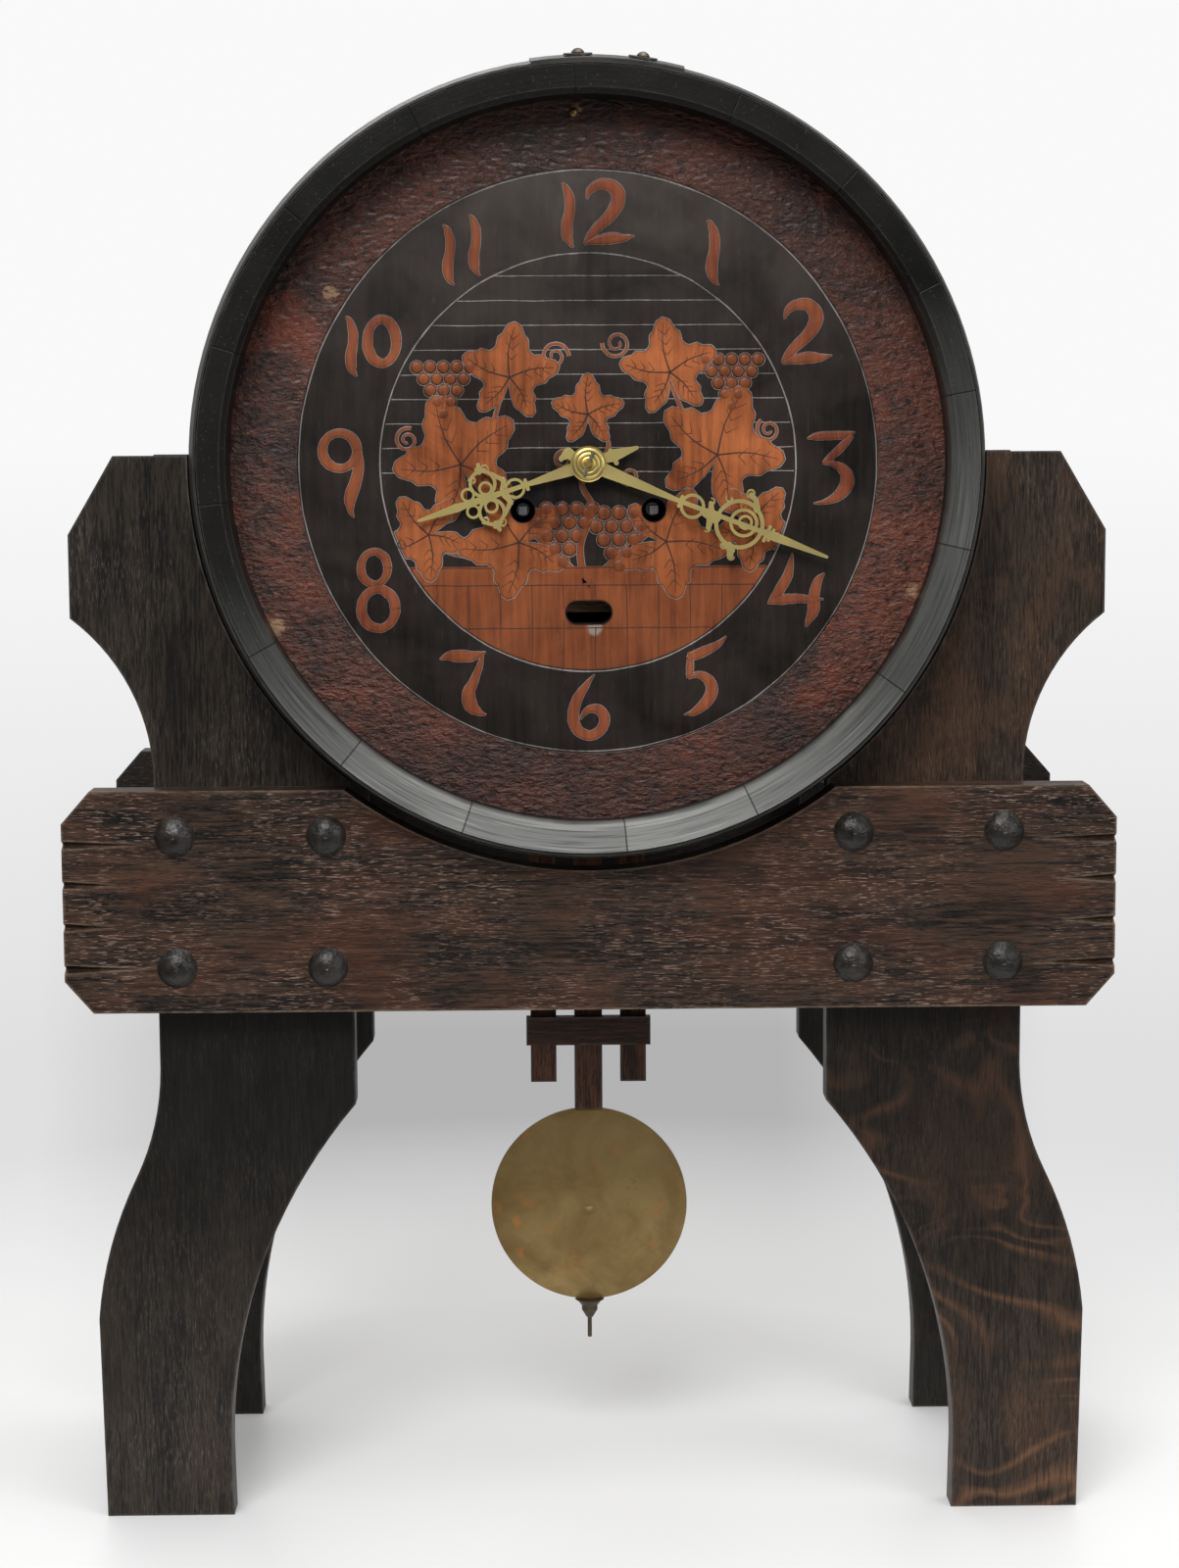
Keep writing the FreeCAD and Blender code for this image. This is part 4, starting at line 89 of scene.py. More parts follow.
# Materials
class Nodes:
    """Short calls for the nodes of one tree."""

    def __init__(self, tree):
        self.tree = tree
        tree.nodes.clear()

    def node(self, kind, **settings):
        made = self.tree.nodes.new(kind)
        for key, value in settings.items():
            setattr(made, key, value)
        return made

    def feed(self, socket, value):
        if isinstance(value, bpy.types.NodeSocket):
            self.tree.links.new(value, socket)
        else:
            socket.default_value = value

    def math(self, operation, a, b=0.0, clamp=False):
        made = self.node("ShaderNodeMath", operation=operation, use_clamp=clamp)
        self.feed(made.inputs[0], a)
        self.feed(made.inputs[1], b)
        return made.outputs[0]

    def times(self, a, b, clamp=False):
        return self.math("MULTIPLY", a, b, clamp)

    def plus(self, a, b):
        return self.math("ADD", a, b)

    def minus(self, a, b, clamp=False):
        return self.math("SUBTRACT", a, b, clamp)

    def span(self, value, low, high, start=0.0, end=1.0):
        """The value's share of the way from low to high, held to start and end."""
        made = self.node("ShaderNodeMapRange")
        for socket, number in zip(made.inputs, (value, low, high, start, end)):
            self.feed(socket, number)
        return made.outputs[0]

    def mix(self, share, under, over):
        """Two colours, each a socket or 8-bit screen values."""
        made = self.node("ShaderNodeMix", data_type="RGBA")
        self.feed(made.inputs[0], share)
        for socket, colour in ((made.inputs[6], under), (made.inputs[7], over)):
            plain = not isinstance(colour, bpy.types.NodeSocket)
            self.feed(socket, linear(*colour) if plain else colour)
        return made.outputs[2]


class Finish(Nodes):
    """A node material on one Principled shader."""

    def __init__(self, name, metallic=0.0, specular=0.5, coat=0.0):
        self.name = name
        self.material = bpy.data.materials.new(name)
        self.material.use_nodes = True
        super().__init__(self.material.node_tree)
        self.shader = self.node("ShaderNodeBsdfPrincipled")
        self.out = self.node("ShaderNodeOutputMaterial")
        self.feed(self.out.inputs[0], self.shader.outputs[0])
        self.shader.inputs["Metallic"].default_value = metallic
        self.shader.inputs["Specular IOR Level"].default_value = specular
        self.shader.inputs["Coat Weight"].default_value = coat
        self.shader.inputs["Coat Roughness"].default_value = 0.25
        self.place = self.node("ShaderNodeTexCoord").outputs["Object"]

    def stretch(self, scale, shift=(0, 0, 0)):
        made = self.node("ShaderNodeMapping")
        self.feed(made.inputs["Vector"], self.place)
        made.inputs["Scale"].default_value = scale
        made.inputs["Location"].default_value = shift
        return made.outputs[0]

    def grain(self, along, long, cross, shift=0.0):
        """Coordinates drawn out along one axis, for marks that run with the grain."""
        scale = [long if letter == along else cross for letter in "XYZ"]
        return self.stretch(scale, (shift, shift, shift))

    def noise(self, where, scale, detail=3.0, rough=0.5, warp=0.0):
        made = self.node("ShaderNodeTexNoise")
        self.feed(made.inputs["Vector"], where)
        made.inputs["Scale"].default_value = scale
        made.inputs["Detail"].default_value = detail
        made.inputs["Roughness"].default_value = rough
        made.inputs["Distortion"].default_value = warp
        return made.outputs["Fac"]

    def axis(self, letter):
        made = self.node("ShaderNodeSeparateXYZ")
        self.feed(made.inputs[0], self.place)
        return made.outputs["XYZ".index(letter)]

    def away(self, where, point):
        """The distance from a point."""
        made = self.node("ShaderNodeVectorMath", operation="DISTANCE")
        self.feed(made.inputs[0], where)
        made.inputs[1].default_value = point
        return made.outputs["Value"]

    def from_arbor(self):
        """The distance from the line through the hands' arbor."""
        return self.away(self.stretch((1, 0, 1)), (0, 0, DIAL_RISE * MM))

    def bare(self, u, v, y, wide, rough):
        """A ragged patch about one place on the dial."""
        torn = self.times(self.minus(rough, 0.5), 0.012)
        reach = self.plus(self.away(self.place, spot(u, v, y)), torn)
        return self.span(reach, wide * 0.6 * MM, wide * MM, 0.75, 0.0)

    def edges(self, radius, sharp=0.25):
        """How near a point is to an edge, broken up by noise."""
        bevel = self.node("ShaderNodeBevel", samples=4)
        bevel.inputs["Radius"].default_value = radius
        plain = self.node("ShaderNodeNewGeometry")
        dot = self.node("ShaderNodeVectorMath", operation="DOT_PRODUCT")
        self.feed(dot.inputs[0], bevel.outputs[0])
        self.feed(dot.inputs[1], plain.outputs["Normal"])
        near = self.span(dot.outputs["Value"], 0.995, 0.9)
        broken = self.span(self.noise(self.place, 90, 4, 0.7), 0.5 - sharp, 0.5 + sharp)
        return self.times(near, broken, True)

    def bump(self, height, strength, depth):
        made = self.node("ShaderNodeBump")
        made.inputs["Strength"].default_value = strength
        made.inputs["Distance"].default_value = depth
        self.feed(made.inputs["Height"], height)
        return made.outputs[0]

    def finish(self, colour, rough, normal=None):
        """Wires the shader and keeps the material under its name."""
        self.feed(self.shader.inputs["Base Color"], colour)
        self.feed(self.shader.inputs["Roughness"], rough)
        if normal:
            self.feed(self.shader.inputs["Normal"], normal)
        FINISHES[self.name] = self.material


def wood(name, dark, mid, light, along="X", pores=0.5, flakes=0.0, streaks=0.35, rough=0.45,
         worn=(98, 93, 88), wear=0.85, shift=0.0, painted_shade=0.0):
    """Oak or other sawn wood: growth streaks, open pores, ray figure, painted shade under the board
    and rubbed edges.
    """
    f = Finish(name, specular=0.25, coat=0.05)
    broad = f.noise(f.grain(along, 1.6, 14, shift), 5, 4, 0.55, 0.6)
    fine = f.noise(f.grain(along, 4, 60, shift), 14, 3, 0.6, 0.2)
    cloud = f.noise(f.grain(along, 0.6, 1.3, shift), 24, 4, 0.6)
    growth = f.plus(f.times(broad, 0.35), f.times(fine, 0.65))
    tone = f.mix(f.span(growth, 0.43, 0.57), dark, mid)
    tone = f.mix(f.times(f.span(cloud, 0.46, 0.66), streaks), tone, light)
    pore = f.noise(f.grain(along, 13, 150, shift), 16, 2, 0.5)
    gap = f.span(pore, 0.42, 0.36)
    tone = f.mix(f.times(gap, 0.75), tone, [part * 0.4 for part in dark])
    patchy = f.span(f.noise(f.place, 22, 2, 0.5), 0.34, 0.60)
    fleck = f.times(f.times(f.span(pore, 0.60, 0.66), patchy), pores, True)
    tone = f.mix(fleck, tone, [part * 0.55 + 86 for part in light])
    if flakes:
        flow = f.noise(f.grain(along, 17, 10, shift), 1.0, 2, 0.4, 0.7)
        level = f.math("FRACT", f.times(flow, 10))
        line = f.minus(1.0, f.times(f.math("ABSOLUTE", f.minus(level, 0.5)), 4), True)
        seen = f.span(f.noise(f.stretch((1, 1, 1), (0, shift, 0)), 15, 2, 0.5), 0.40, 0.56)
        seen = f.times(seen, f.span(fine, 0.3, 0.5))
        seen = f.times(seen, f.span(f.axis("Z"), 0.34, 0.26, 0.15, 1.0))
        tone = f.mix(f.times(f.times(line, seen), flakes), tone, [part * 1.3 + 6 for part in light])
    # Painted shade: the legs are darker just under the board, where its shadow falls.
    if painted_shade:
        rise = f.axis("Z")
        dim = f.times(f.span(rise, 0.05, 0.2), f.span(rise, 0.37, 0.28))
        tone = f.mix(f.times(dim, painted_shade), tone, (9, 8, 7))
    tone = f.mix(f.times(f.edges(0.0022, 0.2), wear), tone, worn)
    height = f.minus(f.times(growth, 0.6), f.times(gap, 0.5))
    gloss = f.plus(f.span(cloud, 0.3, 0.7, rough - 0.07, rough + 0.1), f.times(fleck, 0.2))
    f.finish(tone, gloss, f.bump(height, 0.4, 0.0007))


def metal(name, tone, other, rough=0.3, metallic=1.0, mottled=0.4, scale=40, brushed=(1, 1, 1),
          dent=0.15, worn=None, wear=0.5, rings=0.0, spots=None):
    """Brass, steel or painted iron: clouded colour, fine scratches, dents and rubbed edges."""
    f = Finish(name, metallic)
    cloud = f.noise(f.place, scale, 4, 0.6, 0.4)
    speck = f.noise(f.place, scale * 9, 3, 0.6)
    hair = f.noise(f.stretch(brushed), 60, 3, 0.6)
    colour = f.mix(f.times(f.span(cloud, 0.35, 0.68), mottled), tone, other)
    colour = f.mix(f.times(f.span(speck, 0.6, 0.75), mottled * 0.6), colour, other)
    if spots:
        spotted = f.span(f.noise(f.place, 75, 2, 0.5, 0.3), 0.58, 0.68, 0.0, 0.75)
        crowd = f.span(f.noise(f.place, 17, 2), 0.42, 0.6)
        colour = f.mix(f.times(spotted, crowd), colour, spots)
    if worn:
        colour = f.mix(f.times(f.edges(0.0008), wear), colour, worn)
    gloss = f.plus(f.span(cloud, 0.3, 0.7, rough - 0.06, rough + 0.08), f.times(hair, 0.08))
    height = f.plus(f.times(cloud, dent), f.times(hair, 0.06))
    if rings:
        lathed = f.math("SINE", f.times(f.from_arbor(), math.tau / rings))
        colour = f.mix(f.span(lathed, -0.6, -1.0, 0.0, 0.7), colour, (96, 76, 36))
        height = f.plus(height, f.times(lathed, 0.35))
    f.finish(colour, gloss, f.bump(height, 0.4, 0.0012))


def stained(name, tone, other, rough=0.4, coat=0.06, dust_and_sheen=0.0, dim=0.0, scorch_and_shade=0.0):
    """A thin stain over the dial's vertical boards."""
    f = Finish(name, specular=0.25, coat=coat)
    grain = f.noise(f.grain("Z", 3, 40), 8, 4, 0.6, 0.3)
    cloud = f.noise(f.place, 26, 4, 0.6, 0.5)
    share = f.plus(f.times(f.span(cloud, 0.32, 0.68), 0.6), f.times(f.span(grain, 0.35, 0.65), 0.4))
    colour = f.mix(share, tone, other)
    scratch = f.span(f.noise(f.stretch((260, 30, 20)), 5, 2, 0.5), 0.68, 0.72)
    colour = f.mix(f.times(scratch, 0.2), colour, [min(255, part + 40) for part in other])
    # Lighter grey patches towards the top of the chapter ring: partly dust, partly painted sheen
    # where the light from above falls.
    if dust_and_sheen:
        high = f.span(f.axis("Z"), DIAL_RISE * MM, (DIAL_RISE + CHAPTER_RADIUS) * MM)
        patchy = f.times(f.times(high, high), f.span(cloud, 0.1, 0.9))
        colour = f.mix(f.times(patchy, dust_and_sheen), colour, (112, 103, 97))
    if dim:
        low = f.span(f.axis("Z"), DIAL_RISE * MM, (DIAL_RISE - INNER_RADIUS) * MM)
        low = f.times(low, f.span(cloud, 0.3, 0.6, 0.4, 1.0))
        colour = f.mix(f.times(low, dim), colour, (58, 26, 16))
        colour = f.mix(f.bare(*CHIP, cloud), colour, (150, 140, 128))
    # Darker near the relief's edges: partly scorched edges, partly painted shade where the relief
    # falls away.
    if scorch_and_shade:
        colour = f.mix(f.times(f.edges(0.0016, 0.3), scorch_and_shade), colour, (52, 24, 15))
    f.finish(colour, f.span(cloud, 0.3, 0.7, rough - 0.08, rough + 0.1), f.bump(grain, 0.3, 0.0004))


# Bare spots of the dial: u, v, face and width; one below the sight hole, the rest on the band
CHIP = (2.5, -80.0, DIAL_FACE_Y, 4.0)
SCARS = ((-153.4, -78.2, BAND_FACE_Y, 5.4), (158.3, -63.6, BAND_FACE_Y, 4.4),
         (-124.0, 83.0, BAND_FACE_Y, 3.6), (-6.0, 169.0, BAND_FACE_Y, 3.0))


def leathered(name):
    """The dial's outer band: red-brown stain, dark in its tooled pits, with a painted highlight on
    its raised strokes, painted shadow at the top and a few bare scars.
    """
    f = Finish(name, specular=0.35, coat=0.22)
    cloud = f.noise(f.place, 17, 4, 0.6, 0.5)
    strokes = f.noise(f.stretch((210, 210, 400)), 1.0, 3, 0.6, 0.6)
    fine = f.noise(f.stretch((420, 420, 900)), 1.0, 3, 0.65, 0.5)
    colour = f.mix(f.span(cloud, 0.36, 0.64), (44, 24, 17), (100, 52, 36))
    colour = f.mix(f.span(strokes, 0.34, 0.47, 0.85, 0.0), colour, (16, 8, 6))
    # Painted highlight: the raised tool strokes are painted lighter.
    colour = f.mix(f.span(strokes, 0.57, 0.72, 0.0, 0.45), colour, (118, 66, 47))
    rubbed = f.span(f.noise(f.stretch((1, 1, 1), (0.31, 0, 0.17)), 24, 5, 0.6), 0.58, 0.68)
    colour = f.mix(f.times(rubbed, 0.4), colour, (136, 62, 38))
    # Painted shadow towards the top, where the chime's rim shades the band; the band is also darker
    # towards the bottom.
    up = f.minus(f.axis("Z"), DIAL_RISE * MM)
    darker_top_and_bottom = f.plus(f.span(up, 0.06, 0.18, 0.0, 0.5), f.span(up, -0.08, -0.17, 0.0, 0.5))
    colour = f.mix(darker_top_and_bottom, colour, (20, 12, 9))
    for scar in SCARS:
        colour = f.mix(f.bare(*scar, strokes), colour, (150, 118, 88))
    height = f.plus(strokes, f.times(fine, 0.4))
    f.finish(colour, f.span(strokes, 0.3, 0.7, 0.46, 0.24), f.bump(height, 1.0, 0.0018))


# Where each stave starts, as a share of a turn from the right, and how pale the one after it is
STAVE_JOINTS = (0.029, 0.075, 0.131, 0.187, 0.255, 0.324, 0.388, 0.451,
                0.516, 0.581, 0.639, 0.696, 0.765, 0.821, 0.900, 0.964)
STAVE_TONES = (0.5, 0.2, 0.7, 0.35, 0.6, 0.1, 0.45, 0.75,
               0.3, 0.55, 0.8, 0.25, 0.95, 0.65, 0.4, 0.85)


def stave_finish(name):
    """Staves under worn black-grey paint: each its own tone, with dark joints, chipped edges and a
    painted highlight low down and to the right.
    """
    f = Finish(name, specular=0.14)
    grain = f.noise(f.stretch((50, 3, 50)), 9, 3, 0.6, 0.3)
    cloud = f.noise(f.place, 18, 4, 0.6)
    up = f.minus(f.axis("Z"), DIAL_RISE * MM)
    turn = f.math("FRACT", f.math("DIVIDE", f.math("ARCTAN2", up, f.axis("X")), math.tau))
    tone, nearest = 0.0, 1.0
    for share, shade, last in zip(STAVE_JOINTS, STAVE_TONES, (STAVE_TONES[-1], *STAVE_TONES)):
        tone = f.plus(tone, f.times(f.math("GREATER_THAN", turn, share), shade - last))
        nearest = f.math("MINIMUM", nearest, f.math("ABSOLUTE", f.minus(turn, share)))
    tone = f.plus(tone, STAVE_TONES[-1])
    # Painted highlight: the ring's front is painted pale grey towards the bottom and on the right,
    # where light from above catches it.
    low = f.span(f.axis("Z"), 0.51, 0.345)
    right = f.times(f.span(f.axis("X"), 0.05, 0.2), f.span(f.axis("Z"), 0.62, 0.5, 0.0, 0.34))
    front = f.span(f.axis("Y"), -0.104, -0.116)
    light = f.times(f.math("MAXIMUM", f.times(low, low), right), front)
    colour = f.mix(f.span(cloud, 0.3, 0.7), (11, 11, 10), (23, 22, 20))
    colour = f.mix(f.times(tone, 0.25), colour, (40, 38, 35))
    colour = f.mix(f.times(light, f.span(tone, 0.0, 1.0, 0.72, 0.95)), colour, (150, 151, 148))
    round_way = f.node("ShaderNodeCombineXYZ")
    f.feed(round_way.inputs[0], f.times(f.from_arbor(), 900))
    f.feed(round_way.inputs[1], f.times(turn, 22))
    brushed = f.noise(round_way.outputs[0], 1.0, 3, 0.6)
    colour = f.mix(f.times(f.span(brushed, 0.5, 0.36), 0.45), colour, (24, 24, 23))
    # Painted sheen along the brush lines inside that highlight.
    painted_sheen = f.times(f.times(f.span(brushed, 0.6, 0.7), light), 0.5)
    colour = f.mix(painted_sheen, colour, (190, 190, 188))
    fleck = f.span(f.noise(f.stretch((60, 12, 60)), 12, 2, 0.5), 0.66, 0.7)
    colour = f.mix(f.times(fleck, 0.15), colour, (110, 108, 102))
    colour = f.mix(f.times(f.edges(0.0012), 0.4), colour, (112, 110, 104))
    joint = f.span(nearest, 0.00015, 0.0005, 0.7, 0.0)
    colour = f.mix(joint, colour, (12, 11, 10))
    height = f.minus(f.plus(f.times(grain, 0.4), f.times(brushed, 0.4)), joint)
    f.finish(colour, f.span(cloud, 0.3, 0.7, 0.3, 0.46), f.bump(height, 0.3, 0.0006))


def build_materials():
    wood("left_oak", (18, 15, 12), (48, 41, 34), (66, 54, 44), "Z", 0.3, painted_shade=0.78)
    wood("right_oak", (21, 16, 12), (54, 43, 34), (84, 57, 38), "Z", 0.2, 0.66, 0.5,
         shift=0.37, painted_shade=0.65)
    wood("rear_oak", (16, 14, 12), (34, 30, 25), (46, 40, 34), "Z", 0.2, shift=0.71)
    # The board's edges are pale grey: partly wear, partly a painted highlight along its edges and
    # gouges.
    wood("board_oak", (13, 10, 8), (66, 48, 37), (98, 56, 34), "X", 0.8, 0.0, 0.34, shift=0.13,
         wear=1.0, worn=(136, 118, 100))
    wood("rear_board_oak", (20, 16, 13), (40, 33, 27), (54, 44, 37), "X", 0.5, shift=0.53)
    wood("rear_head_oak", (62, 42, 28), (92, 64, 42), (112, 82, 56), "Z", 0.4, 0.1)
    wood("door_oak", (66, 44, 29), (98, 68, 44), (120, 86, 58), "Z", 0.4, 0.1, shift=0.21)
    wood("plain_oak", (104, 76, 50), (134, 102, 70), (150, 118, 84), "X", 0.4)
    wood("pendulum_wood", (40, 22, 14), (84, 52, 35), (104, 68, 48), "Z", 0.15, rough=0.38)
    wood("crossbar_wood", (30, 17, 12), (62, 38, 27), (84, 54, 38), "X", 0.15, rough=0.38)
    stave_finish("stave_paint")
    metal("hoop_paint", (30, 29, 27), (50, 48, 45), 0.42, 0.35, 0.6, 60, dent=0.4,
          worn=(120, 116, 110))
    metal("nail_paint", (20, 17, 15), (56, 50, 45), 0.28, 0.2, 0.6, 190, dent=2.4,
          worn=(96, 90, 84), wear=0.4)
    metal("dull_steel", (96, 90, 84), (52, 44, 40), 0.4, 0.9, 0.6, 150, dent=0.4)
    metal("bright_steel", (168, 168, 166), (122, 120, 118), 0.26, brushed=(60, 6, 60))
    metal("blue_steel", (84, 92, 116), (60, 58, 66), 0.26, brushed=(8, 60, 8))
    metal("cup_iron", (72, 64, 54), (100, 88, 70), 0.36, 0.8, 0.6, 140, worn=(150, 138, 116))
    metal("hinge_brass", (186, 152, 84), (128, 96, 48), 0.32, mottled=0.5)
    metal("screw_brass", (150, 126, 84), (92, 74, 50), 0.42, mottled=0.6, scale=160)
    metal("hand_brass", (214, 196, 128), (186, 164, 92), 0.34, 0.85, 0.5, 60,
          worn=(236, 222, 160), wear=0.6)
    metal("collet_brass", (206, 186, 116), (176, 152, 84), 0.3, 0.85, scale=60, rings=0.0021)
    metal("dark_plate", (20, 17, 13), (34, 28, 20), 0.5, 0.3, 0.5)
    metal("plate_brass", (202, 166, 94), (168, 132, 68), brushed=(4, 4, 90))
    # The bob is darker along its edges.
    metal("aged_brass", (144, 122, 78), (112, 88, 50), 0.38, 0.7, 1.0, 30, dent=0.1,
          worn=(70, 54, 32), wear=0.9, spots=(168, 112, 60))
    leathered("band_stain")
    stained("inner_stain", (12, 9, 8), (42, 34, 29), dust_and_sheen=0.5)
    stained("figure_stain", (80, 38, 21), (166, 92, 52), dim=0.45, scorch_and_shade=0.7)
    stained("leaf_stain", (88, 42, 22), (180, 102, 56), dim=0.35, scorch_and_shade=0.8)
    stained("numeral_stain", (86, 40, 27), (152, 82, 48), rough=0.44, scorch_and_shade=0.85)
    # Painted highlight: the pale lines stand for light caught on the edges of the incised lines.
    stained("cut_highlight", (58, 53, 50), (156, 152, 148), rough=0.6, coat=0.0)
    stained("cut_dark", (40, 24, 18), (78, 52, 40), rough=0.6, coat=0.0)


# The finish of each node by name, and of the rest by the record's material slot
NODE_FINISH = {
    "front_left_leg": "left_oak", "front_right_leg": "right_oak", "rear_left_leg": "rear_oak",
    "rear_right_leg": "rear_oak", "front_board": "board_oak", "rear_board": "rear_board_oak",
    "board_nails": "nail_paint", "barrel_staves": "stave_paint", "front_hoop": "hoop_paint",
    "rear_hoop": "hoop_paint", "quarter_hoops": "hoop_paint", "hoop_rivets": "dull_steel",
    "front_head": "inner_stain", "rear_head": "rear_head_oak", "back_door": "door_oak",
    "door_knob": "hinge_brass", "head_hinge_leaves": "hinge_brass",
    "door_hinge_leaves": "hinge_brass", "head_cleats": "plain_oak",
    "screws_and_nuts": "screw_brass", "door_screws": "screw_brass", "hour_hand": "hand_brass",
    "minute_hand": "hand_brass", "hand_collet": "collet_brass", "taper_pin": "bright_steel",
    "pendulum_stick": "pendulum_wood", "pendulum_side_strips": "pendulum_wood",
    "pendulum_crossbars": "crossbar_wood", "pendulum_bob": "aged_brass", "bob_cup": "cup_iron",
    "rating_nut": "cup_iron", "front_plate": "dark_plate", "pendulum_rod": "cup_iron",
    "gong_post": "hoop_paint",
}
SLOT_FINISH = {
    "plate_brass": "plate_brass", "steel": "bright_steel", "spring_steel": "blue_steel",
    "hardware_brass": "hinge_brass", "screw_brass": "screw_brass", "hand_brass": "hand_brass",
}


def dress_nodes():
    slots = {row["node"]: row["material_slot"] for row in frame["record"]["subparts"]}
    for name, made in NODES.items():
        finish = NODE_FINISH.get(name) or SLOT_FINISH[slots[name]]
        made.data.materials.clear()
        made.data.materials.append(FINISHES[finish])


# Mesh helpers
def closed_mesh(name, points, faces):
    """A mesh whose faces all look outward."""
    mesh = bpy.data.meshes.new(name)
    mesh.from_pydata(points, [], faces)
    work = bmesh.new()
    work.from_mesh(mesh)
    bmesh.ops.recalc_face_normals(work, faces=work.faces)
    work.to_mesh(mesh)
    work.free()
    return mesh


def placed(name, data):
    made = bpy.data.objects.new(name, data)
    bpy.context.scene.collection.objects.link(made)
    return made


def piece(name, points, faces, finish, smooth=False, body="clock"):
    mesh = closed_mesh(name, points, faces)
    made = placed(name, mesh)
    mesh.materials.append(FINISHES[finish])
    if smooth:
        mesh.shade_smooth()
    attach(made, body)
    return made


def curve_through(knots, steps=6):
    """Points along a smooth line through knots of any number of values."""
    ends = [knots[0], *knots, knots[-1]]
    line = []
    for i in range(1, len(ends) - 2):
        for step in range(steps):
            t = step / steps
            line.append(tuple(
                0.5 * (2 * b + (c - a) * t + (2 * a - 5 * b + 4 * c - d) * t * t
                       + (3 * b - a - 3 * c + d) * t ** 3)
                for a, b, c, d in zip(ends[i - 1], ends[i], ends[i + 1], ends[i + 2])
            ))
    line.append(tuple(knots[-1]))
    return line


def closely(line, most=3.0):
    """The same line with its long steps divided."""
    made = [line[0]]
    for a, b in zip(line, line[1:]):
        parts = max(1, math.ceil(math.dist(a[:2], b[:2]) / most))
        for k in range(1, parts + 1):
            made.append(tuple(p + (q - p) * k / parts for p, q in zip(a, b)))
    return made


def circle(u, v, radius, steps):
    turns = [math.tau * i / steps for i in range(steps)]
    return [(u + radius * math.cos(a), v + radius * math.sin(a)) for a in turns]


class Relief:
    """Gathers flat low shapes on the dial into one mesh."""

    def __init__(self, face_y=DIAL_FACE_Y):
        self.points, self.faces, self.face_y = [], [], face_y

    def ribbon(self, line, high, grow=0.0, crown=0.35):
        """A stroke whose third value is its width, broken where it would cross a hole."""
        run = []
        for point in closely(line):
            if outside_holes(*point[:2]):
                run.append(point)
            else:
                self.strip(run, high, grow, crown)
                run = []
        self.strip(run, high, grow, crown)

    def strip(self, line, high, grow, crown):
        """An unbroken stroke with a low crown and sides down to the dial."""
        if len(line) < 2:
            return
        shoulder = high * (1 - crown)
        section = ((1, -0.1), (1, shoulder), (0.5, high), (-0.5, high), (-1, shoulder), (-1, -0.1))
        sides = len(section)
        first = len(self.points)
        for i, (u, v, wide) in enumerate(line):
            before, after = line[max(i - 1, 0)], line[min(i + 1, len(line) - 1)]
            du, dv = after[0] - before[0], after[1] - before[1]
            size = math.hypot(du, dv) or 1.0
            nu, nv = -dv / size, du / size
            half = max(wide, 0.2) / 2 + grow
            for share, lift in section:
                out = (u + nu * half * share, v + nv * half * share)
                self.points.append(spot(*out, self.face_y - lift))
        for i in range(len(line) - 1):
            a = first + sides * i
            for k in range(sides):
                n = (k + 1) % sides
                self.faces.append((a + k, a + n, a + n + sides, a + k + sides))
        last = first + sides * (len(line) - 1)
        self.faces.append(tuple(range(first, first + sides)))
        self.faces.append(tuple(reversed(range(last, last + sides))))

    def plate(self, outline, high, edge=0.4):
        """A flat shape that is star-shaped about its middle, with a small sloping edge."""
        middle_u = sum(p[0] for p in outline) / len(outline)
        middle_v = sum(p[1] for p in outline) / len(outline)
        first = len(self.points)
        for u, v in outline:
            du, dv = u - middle_u, v - middle_v
            inner = max(0.0, 1 - edge / (math.hypot(du, dv) or 1.0))
            self.points.append(spot(u, v, self.face_y + 0.1))
            top = (middle_u + du * inner, middle_v + dv * inner)
            self.points.append(spot(*top, self.face_y - high))
        count = len(outline)
        for i in range(count):
            a, b = first + 2 * i, first + 2 * ((i + 1) % count)
            self.faces.append((a, b, b + 1, a + 1))
        self.faces.append(tuple(first + 2 * i + 1 for i in range(count)))
        self.faces.append(tuple(first + 2 * i for i in reversed(range(count))))

    def make(self, name, finish, smooth=False):
        return piece(name, self.points, self.faces, finish, smooth)


def outside_holes(u, v, room=0.8):
    return all(((u - a) / (wide + room)) ** 2 + ((v - b) / (high + room)) ** 2 > 1
               for a, b, wide, high in HOLES)


def cut_holes(target, steps=40, deep=3):
    """Takes the dial's arbor, key and sight holes out of a piece."""
    for number, (u, v, wide, high) in enumerate(HOLES):
        flat = max(0.0, wide - high)
        ring = []
        for i in range(steps):
            a = math.tau * i / steps
            side = flat if math.cos(a) > 0 else -flat
            ring.append((u + side + high * math.cos(a), v + high * math.sin(a)))
        points = [spot(p, q, y) for y in (DIAL_FACE_Y - deep, DIAL_FACE_Y + deep) for p, q in ring]
        faces = [(i, (i + 1) % steps, steps + (i + 1) % steps, steps + i) for i in range(steps)]
        faces += [tuple(reversed(range(steps))), tuple(range(steps, 2 * steps))]
        cutter = placed("cutter_%d" % number, closed_mesh("cutter", points, faces))
        change = target.modifiers.new("hole", "BOOLEAN")
        change.operation, change.solver, change.object = "DIFFERENCE", "EXACT", cutter
        bpy.context.view_layer.update()
        graph = bpy.context.evaluated_depsgraph_get()
        done = bpy.data.meshes.new_from_object(target.evaluated_get(graph))
        target.modifiers.clear()
        target.data = done
        bpy.data.objects.remove(cutter)


